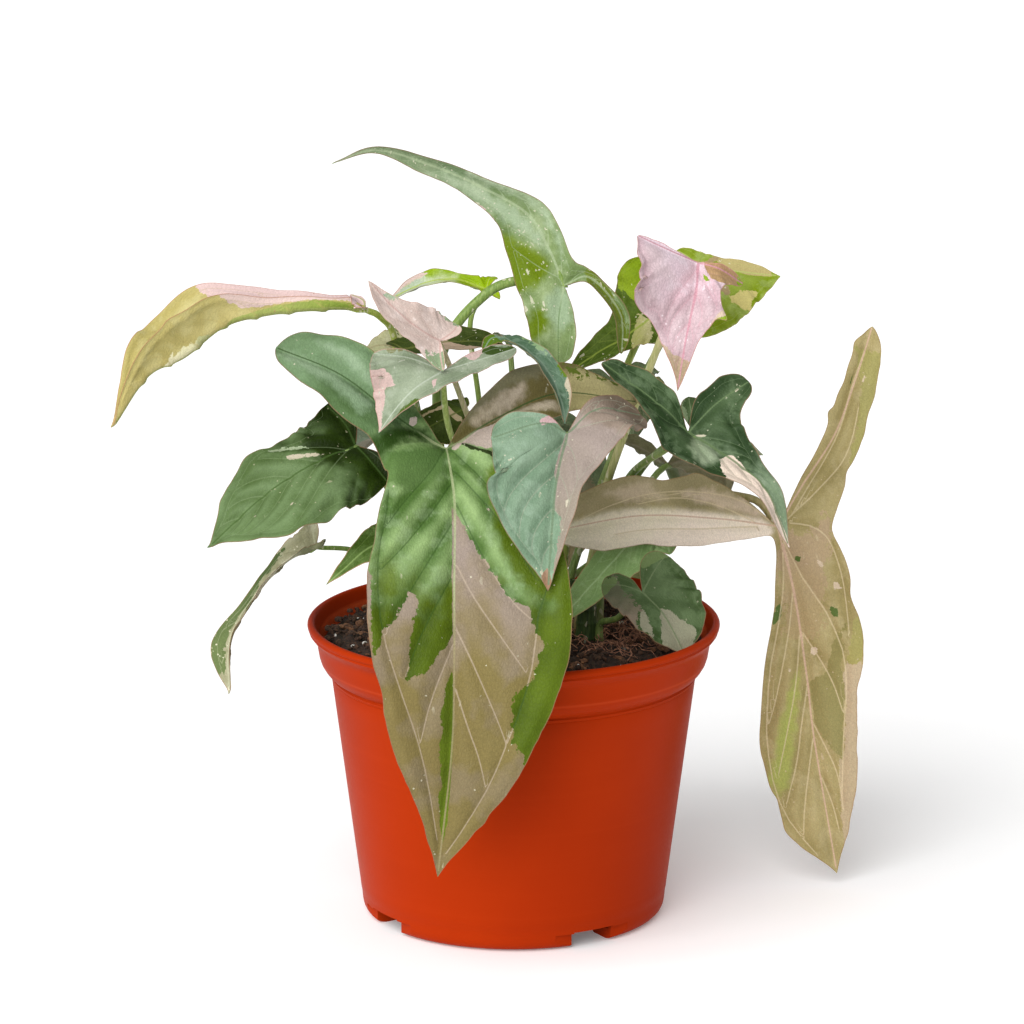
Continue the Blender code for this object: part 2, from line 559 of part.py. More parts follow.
class Blade:
    """The blade's upper face, as a mesh fanned out from its veins."""

    def __init__(self, leaf):
        self.points = []
        self.faces = []
        self.leaf = leaf
        self.join = np.array(leaf["join"], float)
        self.face = unit(np.array(leaf["face"], float))
        self.mid = curve([leaf["join"], *leaf["mid"]], MID_STEPS)
        self.mid_share = np.linspace(0, 1, MID_STEPS + 1)
        self.mid_frames = vein_frames(self.mid, self.face, leaf.get("twist", 0))
        self.mid_ids = [self.point(p) for p in self.mid]
        for number in range(2):
            self.side(number)

    def point(self, place):
        self.points.append(place)
        return len(self.points) - 1

    def strip(self, ids, line, ways, ups, half, share, ripple, fold, flip):
        """Faces from a vein out to the margin."""
        rows = []
        for vein, origin, way, up, width, at in zip(ids, line, ways, ups, half, share):
            row = [vein]
            angle = LOBE_FOLD + (fold - LOBE_FOLD) * ease((at + 0.1) / 0.3)
            for step in range(1, ACROSS_STEPS + 1):
                v = step / ACROSS_STEPS
                wave = v * v * sin(2 * pi * 3 * at + ripple) * min(1, width / 6)
                rise = width * sin(angle) * v + wave
                place = origin + way * (width * v * cos(angle)) + up * rise
                row.append(vein if width < 0.001 else self.point(place))
            rows.append(row)
        for low, high in zip(rows, rows[1:]):
            for k in range(ACROSS_STEPS):
                ring = list(dict.fromkeys((low[k], high[k], high[k + 1], low[k + 1])))
                if len(ring) > 2:
                    self.faces.append(ring[::-1] if flip else ring)

    def side(self, number):
        """One half of the blade, with its basal lobe."""
        leaf = self.leaf
        lobe = leaf["lobes"][number]
        half = leaf["half"][number]
        fold = radians(pair(leaf["fold"], number))
        ripple = 0.3 + 1.7 * number
        line = curve([leaf["join"], *lobe["to"]], LOBE_STEPS)
        share = np.linspace(0, 1, LOBE_STEPS + 1)
        along, up, right = vein_frames(line, self.face)
        mid_along, mid_up, mid_right = self.mid_frames
        hand = 1 if np.dot(line[1] - self.join, mid_right[0]) > 0 else -1
        out = 1 if np.dot(right[0], mid_along[0]) > 0 else -1
        mid_ways = lean(hand * mid_right, mid_along)
        outer_ways = lean(out * right, along)
        first = unit(mid_ways[0] + outer_ways[0])
        crowd = ease((np.dot(along[0], mid_along[0]) + 0.7) / 1.2)  # 1 where the two veins are close
        mid_ways = toward(mid_ways, first, self.mid_share, MID_FAN[0] + MID_FAN[1] * crowd)
        outer_ways = toward(outer_ways, first, share, LOBE_FAN[0] + LOBE_FAN[1] * crowd)
        inner_ways = lean(-out * right, along, SLANT * 0.6)
        ids = [self.mid_ids[0]] + [self.point(p) for p in line[1:]]
        flip = hand < 0
        self.strip(
            ids[::-1] + self.mid_ids[1:],
            np.vstack([line[::-1], self.mid[1:]]),
            np.vstack([outer_ways[::-1], mid_ways[1:]]),
            np.vstack([up[::-1], mid_up[1:]]),
            np.concatenate([widths([half[0], *lobe["half"][0]], share, LOBE_TIP)[::-1],
                            widths(half, self.mid_share, BLADE_TIP)[1:]]),
            np.concatenate([-share[::-1], self.mid_share[1:]]),
            ripple, fold, flip)
        self.strip(ids, line, inner_ways, up, widths([0, *lobe["half"][1]], share, LOBE_TIP),
                   -share, ripple, fold, flip)


def stalk_foot(leaf):
    """Where the leaf's stalk starts, beside its stem and just over the soil."""
    x, y = CROWNS[leaf["crown"]]
    radius = STEM_RADIUS + leaf["stalk"] + STALK_CLEARANCE
    x += radius * cos(radians(leaf["turn"]))
    y += radius * sin(radians(leaf["turn"]))
    return np.array([x, y, soil_height((x * x + y * y) ** 0.5) + GAP + 0.4])


def tube_curve(name, line, radius):
    """A round tube along a line, as a curve with closed ends."""
    shape = bpy.data.curves.new(name, "CURVE")
    shape.dimensions = "3D"
    shape.bevel_depth = radius * MM
    shape.bevel_resolution = 1
    shape.use_fill_caps = True
    run = shape.splines.new("POLY")
    run.points.add(len(line) - 1)
    for knot, place in zip(run.points, line):
        knot.co = (*(place * MM), 1)
    return shape


def stalk(name, leaf, group):
    """The leaf's stalk, as a mesh: a tube up the stem, then through its own points to the blade."""
    foot = stalk_foot(leaf)
    route = [foot, foot + (0, 0, 6), *leaf["via"], leaf["join"]]
    shape = tube_curve(name + "_stalk", curve(route, STALK_STEPS), leaf["stalk"])
    guide = bpy.data.objects.new(name + "_stalk", shape)
    group.objects.link(guide)
    bpy.context.view_layer.update()
    data = bpy.data.meshes.new_from_object(guide.evaluated_get(bpy.context.evaluated_depsgraph_get()))
    bpy.data.objects.remove(guide)
    form = bmesh.new()
    form.from_mesh(data)
    bmesh.ops.remove_doubles(form, verts=form.verts, dist=0.00001)
    bmesh.ops.recalc_face_normals(form, faces=form.faces)
    form.to_mesh(data)
    form.free()
    return data


def leaf_piece(name, leaf, group, cutters):
    """One leaf: its blade, thickened, joined to its stalk."""
    blade = Blade(leaf)
    made = add(name, mesh_from(name, blade.points, blade.faces), "leaf", group)
    skin = made.modifiers.new("thickness", "SOLIDIFY")
    skin.thickness = BLADE * MM
    skin.offset = 0
    joined = bpy.data.objects.new(name + "_stalk", stalk(name, leaf, cutters))
    joined.hide_render = True
    joined.display_type = "WIRE"
    cutters.objects.link(joined)
    step = made.modifiers.new("stalk", "BOOLEAN")
    step.operation = "UNION"
    step.solver = "EXACT"
    step.use_self = True
    step.object = joined


def main():
    for old in list(bpy.data.objects):
        bpy.data.objects.remove(old)
    group = bpy.data.collections.new(COLLECTION)
    cutters = bpy.data.collections.new("cutters")
    for made in (group, cutters):
        bpy.context.scene.collection.children.link(made)
    pot(group, cutters)
    soil(group)
    for letter, place in CROWNS.items():
        stem("stem_" + letter, place, group)
    for name, places in ROOTS.items():
        root(name, places, group)
    for name, leaf in LEAVES.items():
        leaf_piece(name, leaf, group, cutters)


main()
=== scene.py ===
"""The looks of a potted syngonium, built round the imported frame.

Each leaf is a fine sheet that follows the leaf of the CAD model, with its veins in relief. Its colours
lie on the flattened blade: x runs from the stalk to the tip and y to the right of the mid vein, in
millimetres. The tables of the plant are the CAD model's, in millimetres as well.
"""

from math import cos, pi, radians, sin, tan

import bmesh
import bpy
import numpy as np
from mathutils import Matrix, Vector


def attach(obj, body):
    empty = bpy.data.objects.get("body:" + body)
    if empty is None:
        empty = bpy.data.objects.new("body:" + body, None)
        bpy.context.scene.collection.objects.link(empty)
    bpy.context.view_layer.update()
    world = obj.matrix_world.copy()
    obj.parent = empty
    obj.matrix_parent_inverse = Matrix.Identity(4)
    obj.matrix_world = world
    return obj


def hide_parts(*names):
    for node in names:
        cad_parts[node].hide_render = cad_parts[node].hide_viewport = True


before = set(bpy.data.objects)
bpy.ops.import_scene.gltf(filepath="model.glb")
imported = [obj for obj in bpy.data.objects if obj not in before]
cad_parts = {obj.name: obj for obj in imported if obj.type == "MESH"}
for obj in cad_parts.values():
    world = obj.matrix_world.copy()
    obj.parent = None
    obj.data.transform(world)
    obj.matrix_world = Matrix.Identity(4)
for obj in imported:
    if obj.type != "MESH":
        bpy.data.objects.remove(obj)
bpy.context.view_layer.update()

MM = 0.001

# Camera
CAMERA_PLACE = (-0.0006, -2.0, 0.652)
CAMERA_AIM = (-0.0006, 0, 0.1515)
LENS = 197.6

# Light and floor
SUN_WAY = (-0.62, -1.0, 0.8)  # towards the sun, from the left and the front
SUN_POWER = 3.5
SUN_ANGLE = radians(60)  # wide, for soft shadows
SKY_STRENGTH = 0.5
FLOOR_REACH = 30.0  # metres

# Pot, turned about the Z axis
POT_HEIGHT = 111.0
RIM_RADIUS = 76.0
BAND_RADIUS = 72.5
SHOULDER_RADIUS = 67.3
HEEL_RADIUS = 55.8
FOOT_RADIUS = 51.0
FOOT_INNER_RADIUS = 43.0
BASE_RISE = 2.0  # the floor stands this high above the foot ring
FLOOR = 2.0
WALL = 1.6
BAND_FOOT = 89.4  # height of the step under the band
POT_STEPS = 192  # round the pot
SHARP = radians(40)  # steeper edges of the pot stay sharp

# Drain notches round the heel
NOTCH_ANGLES = (31.8, 121.8, 211.8, 301.8)  # degrees from the front, towards +X
NOTCH_WIDTH = 31.0
NOTCH_HEIGHT = 6.0
NOTCH_DEPTH = 2.0
DRAIN_WIDTH = 17.0
DRAIN_HEIGHT = 6.5
DRAIN_INNER_RADIUS = 41.0

# Soil
SOIL_EDGE = 102.5  # the height of its smooth surface by the pot
SOIL_TOP = 104.0  # and in the middle
SOIL_FOOT = 97.5  # where the soil's wall ends, hidden in the pot
SOIL_GAP = 1.3  # between the soil's margin and the pot's wall
SOIL_SINK = 0.4  # the rough surface lies this much under the smooth one
SOIL_RINGS = 110  # the surface's mesh, from the middle out and round
SOIL_STEPS = 300
SOIL_LUMPS = ((17, 1.6, 1), (6, 1.5, 2), (2.6, 1.3, 3), (1.2, 0.6, 4))  # sizes, heights and seeds
SOIL_HEAP = 3.0  # how much higher the soil lies on the left
CRUMB_REACH = 69  # how far from the middle crumbs lie
# What lies on the soil: how many, their sizes, how flat, the seed, and their skin's name, colours and grain
CRUMBS = (
    ("crumbs", 2400, (0.6, 2.0), 0.8, 11, ("crumb", (24, 15, 9), (92, 63, 43), 1300)),
    ("bark", 190, (1.4, 3.6), 0.4, 12, ("bark", (72, 42, 24), (146, 102, 70), 900)),
    ("perlite", 80, (0.7, 1.7), 0.8, 13, ("perlite", (196, 190, 180), (240, 238, 232), 1500)),
)

# Stems
STEM_HEIGHT = 15.0
STEM_RADIUS = 4.4
STEM_TOP_RADIUS = 3.2
STEM_SINK = 1.5  # how far a stem goes into the soil
STALK_CLEARANCE = 0.6  # between a stalk and its stem
STALK_LIFT = 0.7  # a stalk's foot stands this much over the soil
CROWNS = {
    "a": (27, -1),
    "b": (-4, 16),
    "c": (-34, -4),
    "d": (2, -28),
    "e": (22, 26),
    "f": (-24, 16),
}

# Roots that lie on the soil; each piece is one long root and many fine ones that wander about its start
ROOT_COUNT = 32
ROOT_STEPS = 8
ROOT_STEP = 2.8
ROOT_REACH = 68  # how far from the middle roots lie
ROOTS = {
    "root_a": [(37, 6), (43, 10), (50, 7), (57, 9)],
    "root_b": [(35, -11), (40, -15), (43, -24), (41, -33)],
}

# Blades
LOBE_FOLD = radians(8)
SLANT = radians(25)  # the blade's cross lines lean towards the tip
CELL = 1.1  # the sheet's mesh, in millimetres
THICKNESS = 0.42
CURVE_PARTS = 24  # between two given points of a curve
EVEN_ROUNDS = 90  # how often a margin's points are drawn together
RUFFLE = 0.25  # small waves of the margin
MID_VEIN = 0.44  # the mid vein's half-width at the join
MARGIN_VEIN = 3.0  # how far the vein along the margin stays inside it
VEIN_GAP = 14.0  # between side veins along the mid vein
VEIN_LEAD = tan(radians(50)) - tan(SLANT)  # how far side veins run ahead of straight across
LEAF_TONE = 0.8  # the leaves' lightness under this scene's lights
CREASE = 1.2  # how far the blade stands above and below its level beside a crease
SHORT_LOBE = 34  # shorter lobes join the blade in one smooth round, with no side veins of their own
LONG_LEAF = 60  # shorter leaves have a finer mesh and lower relief
ROUND_REACH = 25  # how far from the join the margin is evened out

# Each leaf: where the stalk joins the blade, the mid vein's points from there to the tip, the way the
# upper face looks at the join, and half-widths at equal steps along the mid vein, one list on the side
# of each basal lobe. A lobe has its own vein, and half-widths on its outer and inner side.
# The stalk rises from a crown through its own points.
LEAVES = {
    "leaf_front": dict(
        join=(-24, -52, 188),
        mid=[(-21, -68, 173), (-21, -83, 145), (-21, -92, 116), (-22, -96, 87), (-27, -96, 42)],
        face=(0, -0.7, 0.7), fold=8, half=([25, 33, 34, 29, 22, 10], [18, 42, 46, 39, 28, 14]),
        edge=[(0, 0.08, 0.05, 1.5), (0, 0.5, 0.04, -0.8), (1, 0.62, 0.04, -0.8), (1, 0.82, 0.02, 0.8),
            (1, -0.2, 0.1, 1)],
        creases=[[(-1, 1), (-2, 9), (0, 17), (6, 22), (15, 25.5)], [(8, -19), (5, -13), (2, -9), (-2, -5),
            (-1, -1)]],
        lobes=[
            dict(to=[(-42, -48, 199), (-62, -42, 213), (-85, -36, 221.5)], half=([16, 15.5, 11],
                 [8, 14, 12])),
            dict(to=[(-5, -40, 197), (17, -28, 203), (45, -16, 197)], half=([14, 12, 9], [10, 14, 10])),
        ],
        crown="d", turn=235, via=[(-8, -38, 150), (-19, -47, 180)], stalk=2.1),
    "leaf_mid_front": dict(
        join=(19, -62, 196), mid=[(15, -76, 182), (13, -88, 162), (12, -92, 146)], face=(-0.1, -0.7, 0.7),
        fold=12, edge=[(0, 0.12, 0.2, 1.5), (0, -0.4, 0.4, 2)],
        half=([31, 29, 25, 20, 13.5, 6], [20, 15, 11, 8.5, 6, 3]),
        lobes=[
            dict(to=[(10, -63, 200), (-8, -65, 195)], half=([30, 22], [4, 6.5])),
            dict(to=[(30, -57, 204), (46, -46, 199)], half=([17, 12], [4, 6])),
        ],
        crown="d", turn=310, via=[(12, -38, 150), (18, -54, 186)], stalk=1.7),
    "leaf_right_dark": dict(
        join=(63, -30, 189), mid=[(80, -40, 180), (91, -46, 171), (99, -50, 151)], face=(0.1, -0.6, 0.8),
        fold=8, half=([18, 14.5, 11, 7.5, 5, 3], [19, 14, 9, 6, 5, 3]),
        lobes=[
            dict(to=[(53, -30, 199), (32, -22, 213)], half=([11, 6, 5], [7, 8, 6])),
            dict(to=[(73, -24, 198), (85, -18, 205)], half=([13, 9, 7], [6, 7, 7])),
        ],
        crown="a", turn=50, via=[(34, 18, 138), (43, 20, 160), (56, -10, 178)], stalk=1.6),
    "leaf_right_long": dict(
        join=(99, 40, 136), mid=[(105, 34, 112), (110, 29, 80), (113, 26, 56), (122, 24, 5)],
        face=(-0.1, -0.95, 0.3), fold=6, half=([19, 25, 24, 19, 16, 9], [5, 9, 17, 22, 21, 15]),
        edge=[(0, 0.05, 0.06, 2), (1, 0.03, 0.06, -2.5), (0, 0.17, 0.04, -2.5), (0, 0.27, 0.03, 0.8),
            (0, 0.42, 0.06, -1.3), (0, -0.5, 0.06, 1.2), (0, -0.3, 0.05, -1), (1, 0.7, 0.03, -1),
            (1, 0.8, 0.04, 1.2), (1, -0.75, 0.05, 1), (1, -0.55, 0.06, -1.2), (2, -0.55, 0.03, 1.5),
            (2, -0.72, 0.05, -1), (2, -0.9, 0.04, 1.5), (3, -0.34, 0.05, 1.2), (3, -0.5, 0.05, -1.4)],
        lobes=[
            dict(to=[(108, 46, 150), (121, 57, 168), (130, 67, 190), (135, 70, 206)], half=([15, 10, 9],
                 [2, 4, 5])),
            dict(to=[(75, 28, 142), (46, 10, 147.5), (13, -8, 146)], half=([12, 13, 11], [14, 15, 14.5])),
        ],
        crown="e", turn=-15, via=[(60, 36, 145), (88, 44, 146)], stalk=1.8),
    "leaf_pink": dict(
        join=(67, 0, 245), mid=[(66, -10, 237), (62, -18, 220), (59, -22, 202)], face=(-0.1, -0.75, 0.65),
        fold=6, half=([33, 26, 17.5, 12.5, 8, 3], [9, 15, 13, 6.5, 4.5, 2.5]),
        edge=[(1, 0.22, 0.07, 5), (0, -0.1, 0.3, 2)],
        lobes=[
            dict(to=[(56, -6, 251), (45, -10, 257)], half=([30, 15], [1, 1.5])),
            dict(to=[(75, -2, 243), (84, 4, 236)], half=([7, 4], [2, 2])),
        ],
        crown="a", turn=110, via=[(32, 15, 145), (36, 17, 163), (53, 13, 211), (62, 7, 236)], stalk=1.7),
    "leaf_lime_left": dict(
        join=(50, 24, 219), mid=[(40, 18, 213), (30, 14, 208), (19, 10, 201)], face=(-0.4, -0.75, 0.5),
        fold=8, half=([13, 9, 8, 7, 5, 3], [7, 8, 8, 7, 5, 2]),
        lobes=[
            dict(to=[(49, 25, 230), (48, 25, 242)], half=([13, 11], [6, 7])),
            dict(to=[(56, 22, 215), (58, 20, 209)], half=([7, 5], [3, 4])),
        ],
        crown="e", turn=230, via=[(22, 20, 150), (42, 30, 200)], stalk=1.6),
    "leaf_lime_right": dict(
        join=(68, 24, 236), mid=[(78, 24, 237), (88, 24, 236), (98, 24, 235)], face=(0.1, -0.7, 0.7),
        fold=8, half=([6, 6, 6, 5, 4, 2], [26, 25, 21, 16, 11, 6]),
        lobes=[
            dict(to=[(65, 26, 241), (60, 27, 244)], half=([5, 4], [2, 3])),
            dict(to=[(66, 20, 228), (63, 17, 214)], half=([20, 12], [4, 4])),
        ],
        crown="e", turn=165, via=[(18, 32, 140), (46, 38, 190), (62, 34, 222)], stalk=1.6),
    "leaf_top": dict(
        join=(18, -8, 238),
        mid=[(13, -4, 250), (5, -2, 263), (-12, -2, 273), (-28, -4, 280.5), (-49, -10, 287.8),
            (-65, -16, 284)],
        face=(-0.3, -0.8, 0.5), fold=10, half=([9, 9.5, 5.5, 4, 2.8, 1.5], [17, 15, 8.5, 5, 3.8, 1.3]),
        lobes=[
            dict(to=[(26, -8, 241.5), (33, -8, 236.5), (39.5, -8, 226), (39.5, -8, 212.5)],
                 half=([2.2, 2.5, 3], [2.5, 3, 3.5])),
            dict(to=[(16, -14, 226), (16, -18, 211)], half=([12, 11, 9], [6, 8, 7])),
        ],
        crown="f", turn=280, via=[(-27, -2, 170), (-26, -6, 212), (-10, -4, 234), (6, -2, 239)], stalk=2.2),
    "leaf_left_long": dict(
        join=(-53, -30, 235),
        mid=[(-67, -35, 236), (-87, -40, 235), (-103, -46, 232), (-117, -54, 222.5), (-130, -62, 217),
            (-142, -72, 200.5)],
        face=(0, 0.1, 0.98), fold=(45, 65), half=([3, 7, 13, 21, 18, 7], [3, 5, 6, 15, 15, 7]),
        lobes=[
            dict(to=[(-54, -26, 237), (-59, -21, 238)], half=([3, 2], [1, 1])),
            dict(to=[(-53, -34, 236), (-57, -38, 237)], half=([2.5, 2], [1, 1])),
        ],
        crown="c", turn=110, via=[(-39, -4, 150), (-41, -12, 190), (-43, -17, 220), (-48, -25, 230)],
        stalk=1.5),
    "leaf_small_pink": dict(
        join=(-26, -51, 227), mid=[(-33, -55, 232), (-42, -57, 240), (-51, -57, 250)],
        face=(-0.2, -0.75, 0.6), fold=8, half=([7, 7, 8, 8.5, 7.5, 4.5], [13, 11, 8, 5, 3, 2]),
        lobes=[
            dict(to=[(-26, -55, 223), (-25, -60, 218)], half=([7, 4], [1.2, 1.2])),
            dict(to=[(-21.5, -47, 229.5), (-20, -44, 231.5)], half=([9, 6], [2, 3])),
        ],
        crown="d", turn=160, via=[(-10, -28, 170), (-22, -38, 212)], stalk=1.3),
    "leaf_pink_tip": dict(
        join=(-25, -57, 217.5), mid=[(-34, -62, 213), (-41, -63, 206), (-48, -62, 196)],
        face=(-0.1, -0.6, 0.8), fold=5, half=([24, 21, 17, 14, 10, 4], [8, 7, 6, 5, 3, 1.5]),
        lobes=[
            dict(to=[(-37, -52, 221), (-50, -49, 222)], half=([20, 12], [2, 3])),
            dict(to=[(-12, -50, 220), (1, -40, 222)], half=([7, 6, 5], [3, 4, 4])),
        ],
        crown="d", turn=195, via=[(-14, -33, 165), (-23, -41, 192), (-25, -52, 211)], stalk=1.4),
    "leaf_far_lime": dict(
        join=(-10, 20, 231), mid=[(-22, 24, 234), (-34, 22, 232.5), (-47, 16, 227)], face=(0.1, -0.4, 0.9),
        fold=20, half=([2, 3, 5, 6, 4.5, 2], [3, 5, 5.5, 5.5, 4, 2]),
        lobes=[
            dict(to=[(-9, 24, 234), (-6, 28, 234)], half=([3, 2], [2, 2])),
            dict(to=[(-8, 16, 231), (-5, 13, 229)], half=([3, 2], [2, 2])),
        ],
        crown="b", turn=175, via=[(-12, 18, 180), (-16, 18, 217)], stalk=1.2),
    "leaf_left_green": dict(
        join=(-57, -30, 184), mid=[(-70, -36, 180), (-89, -42, 169), (-110, -46, 150)],
        face=(-0.2, -0.6, 0.75), fold=8, edge=[(1, 0.14, 0.1, 3.5), (0, 0.08, 0.1, -1.5)],
        half=([19, 16, 19, 17, 12, 6], [31, 34, 32, 25, 17, 7]),
        lobes=[
            dict(to=[(-61, -22, 190), (-68, -17, 196)], half=([19, 15, 8], [3, 6, 6])),
            dict(to=[(-52, -35, 180), (-45, -38, 172)], half=([27, 18], [4, 5])),
        ],
        crown="c", turn=230, via=[(-42, -12, 150), (-50, -22, 176)], stalk=1.6),
    "leaf_low_left": dict(
        join=(-73, 0, 139), mid=[(-84, -2, 134), (-96, -5, 121), (-105, -8, 105), (-105, -10, 85)],
        face=(-0.3, 0.1, 0.9), fold=15, twist=-40, half=([7, 7, 4, 3, 8, 6], [3, 5, 7, 7, 3, 3]),
        lobes=[
            dict(to=[(-74, 3, 143), (-74, 5, 147.5)], half=([8, 6], [2.5, 2.5])),
            dict(to=[(-71, -3, 140), (-70, -5, 143)], half=([3, 2], [2, 2])),
        ],
        crown="f", turn=180, via=[(-40, 14, 125), (-58, 7, 135)], stalk=1.1),
    "leaf_small_dark": dict(
        join=(-47, -24, 147), mid=[(-54, -27, 144), (-61, -29, 138), (-68, -30, 132)],
        face=(-0.3, -0.8, 0.5), fold=8, half=([8.5, 6.5, 4.5, 3.5, 3, 2], [8, 6, 3.5, 2.5, 2, 1.5]),
        lobes=[
            dict(to=[(-46, -22, 150), (-44, -20, 153.5)], half=([8.5, 5], [3, 3])),
            dict(to=[(-43, -24, 144), (-39, -24, 143)], half=([6, 4], [3, 3])),
        ],
        crown="c", turn=280, via=[(-37, -16, 125), (-42, -19, 141)], stalk=1.2),
    "leaf_low_right": dict(
        join=(52, 26, 144), mid=[(43, 13, 137), (32, 0, 128), (22, -9, 119), (14, -13, 111)],
        face=(-0.1, -0.8, 0.6), fold=6, half=([7, 8, 8, 7, 6, 3], [17, 17, 13.5, 10, 7.5, 4.5]),
        lobes=[
            dict(to=[(54, 28, 149), (56, 28, 153)], half=([6, 4], [3, 3])),
            dict(to=[(56, 22, 139), (58, 18, 131)], half=([11, 6], [4, 4])),
        ],
        crown="e", turn=-50, via=[(33, 22, 120), (48, 30, 138)], stalk=1.4),
    "leaf_in_pot": dict(
        join=(47, -22, 127), mid=[(54, -28, 121), (59, -32, 113), (62, -34, 107)], face=(0.2, -0.6, 0.75),
        fold=5, half=([14, 15, 14, 12, 9, 5], [20, 19, 18, 16.5, 13.3, 7.3]),
        lobes=[
            dict(to=[(40, -20, 129), (32, -19, 129)], half=([13, 8], [4, 5])),
            dict(to=[(52, -14, 134), (56, -10, 138)], half=([16, 9], [5, 6])),
        ],
        crown="a", turn=320, via=[(38, -14, 115), (44, -16, 122)], stalk=1.3),
    "leaf_curled": dict(
        join=(-3, -30, 224), mid=[(5, -38, 221), (12.5, -46, 215), (17, -52, 206), (18.5, -55, 197.5)],
        face=(0.3, -0.3, 0.9), fold=25, half=([4, 6, 7, 7, 5, 3], [4, 5, 5.5, 5.5, 5.5, 3]),
        lobes=[
            dict(to=[(-8, -32, 224), (-11, -35, 220)], half=([3, 3], [2, 2])),
            dict(to=[(-4, -25, 224), (-8, -22, 223)], half=([3, 3], [2, 2])),
        ],
        crown="d", turn=70, via=[(2, -24, 160), (-1, -26, 215)], stalk=1.3),
    "leaf_pale": dict(
        join=(-42, -6, 214), mid=[(-47, -8, 216), (-52, -9, 215), (-55, -10, 210.5)], face=(0, -0.6, 0.8),
        fold=5, half=([8, 8, 7, 5, 4, 2], [8, 8, 7, 5, 4, 2]),
        lobes=[
            dict(to=[(-40, -4, 218), (-38, -2, 221)], half=([7, 4], [3, 3])),
            dict(to=[(-40, -8, 212), (-37, -9, 209)], half=([7, 4], [3, 3])),
        ],
        crown="f", turn=225, via=[(-34, 6, 170), (-42, -4, 206)], stalk=1.1),
    "leaf_two_tone": dict(
        join=(-40, -27, 219), mid=[(-28, -26, 221), (-12, -24, 221), (0, -22, 217)], face=(0, -0.45, 0.9),
        fold=10, half=([5, 7, 8, 8, 6, 3], [5, 7, 8, 7, 6, 3]),
        lobes=[
            dict(to=[(-43, -23, 220), (-46, -21, 220)], half=([4, 3], [2, 2])),
            dict(to=[(-43, -31, 217), (-46, -33, 216)], half=([4, 3], [2, 2])),
        ],
        crown="c", turn=340, via=[(-32, -10, 175), (-38, -24, 211)], stalk=1.2),
    "leaf_behind_front": dict(
        join=(-18, -24, 196), mid=[(-28, -30, 192), (-34, -33, 189), (-39, -35, 185)],
        face=(-0.1, -0.7, 0.7), fold=8, half=([9, 10, 9.5, 7.5, 6, 3], [15, 15, 14, 11, 7, 3]),
        lobes=[
            dict(to=[(-17, -20, 197), (-17, -18, 199)], half=([3, 2], [1, 1])),
            dict(to=[(-14, -26, 191), (-11, -27, 187)], half=([9, 6], [3, 4])),
        ],
        crown="b", turn=245, via=[(-10, -2, 160), (-15, -14, 188)], stalk=1.3),
    "leaf_behind_right": dict(
        join=(66, -2, 182), mid=[(74, -4, 179), (82, -6, 177), (91, -7, 175)], face=(0.1, -0.5, 0.85),
        fold=8, half=([11, 11, 9, 7, 5, 3], [12, 11, 9, 7, 5, 2]),
        lobes=[
            dict(to=[(65, 2, 188), (64, 4, 194)], half=([9, 6], [3, 4])),
            dict(to=[(61, -4, 179), (57, -6, 178)], half=([8, 5], [3, 4])),
        ],
        crown="e", turn=20, via=[(40, 29, 146), (50, 24, 165), (61, 8, 178)], stalk=1.3),
    "leaf_back_droop": dict(
        join=(8, 54, 170), mid=[(8, 72, 160), (8, 88, 138), (7, 96, 110), (6, 99.5, 80)],
        face=(0, 0.7, 0.7), fold=8, half=([22, 30, 32, 28, 19, 8], [20, 30, 32, 28, 19, 8]),
        lobes=[
            dict(to=[(19, 50, 174), (28, 46, 171)], half=([16, 9], [5, 6])),
            dict(to=[(-6, 49, 173), (-15, 45, 168)], half=([16, 11], [6, 8])),
        ],
        crown="b", turn=70, via=[(2, 34, 140), (6, 46, 160)], stalk=1.9),
    "leaf_back_left": dict(
        join=(-40, 42, 172), mid=[(-54, 54, 168), (-68, 64, 156), (-78, 70, 138)], face=(-0.3, 0.5, 0.8),
        fold=8, half=([16, 19, 18, 15, 10, 5], [16, 19, 18, 15, 10, 5]),
        lobes=[
            dict(to=[(-42, 32, 178), (-46, 24, 180)], half=([14, 8], [4, 6])),
            dict(to=[(-30, 46, 178), (-22, 48, 180)], half=([14, 8], [4, 6])),
        ],
        crown="f", turn=110, via=[(-30, 28, 145), (-37, 39, 167)], stalk=1.6),
    "leaf_back_right": dict(
        join=(58, 52, 158), mid=[(66, 64, 152), (72, 74, 140), (75, 80, 124)], face=(0.3, 0.6, 0.75),
        fold=8, half=([14, 17, 17, 14, 9, 4], [14, 17, 17, 14, 9, 4]),
        lobes=[
            dict(to=[(66, 44, 162), (72, 38, 162)], half=([12, 7], [4, 5])),
            dict(to=[(48, 54, 164), (40, 56, 166)], half=([12, 7], [4, 5])),
        ],
        crown="e", turn=65, via=[(36, 40, 128), (52, 48, 152)], stalk=1.5),
    "leaf_back_top": dict(
        join=(38, 50, 190), mid=[(42, 64, 186), (45, 76, 174), (46, 83, 158)], face=(0.2, 0.5, 0.85),
        fold=8, half=([13, 17, 17, 14, 9, 4], [13, 17, 17, 14, 9, 4]),
        lobes=[
            dict(to=[(47, 45, 195), (54, 40, 196)], half=([10, 6], [4, 5])),
            dict(to=[(29, 48, 193), (22, 46, 190)], half=([10, 6], [4, 5])),
        ],
        crown="e", turn=120, via=[(30, 38, 145), (41, 50, 174)], stalk=1.6),
    "leaf_back_low": dict(
        join=(-26, 56, 124), mid=[(-32, 72, 118), (-36, 85, 100), (-38, 91, 74)], face=(-0.2, 0.6, 0.75),
        fold=8, half=([13, 16, 16, 13, 9, 4], [13, 16, 16, 13, 9, 4]),
        lobes=[
            dict(to=[(-34, 51, 129), (-40, 46, 130)], half=([11, 7], [4, 5])),
            dict(to=[(-18, 54, 129), (-11, 51, 130)], half=([11, 7], [4, 5])),
        ],
        crown="f", turn=60, via=[(-22, 36, 117)], stalk=1.4),
    "leaf_back_low_right": dict(
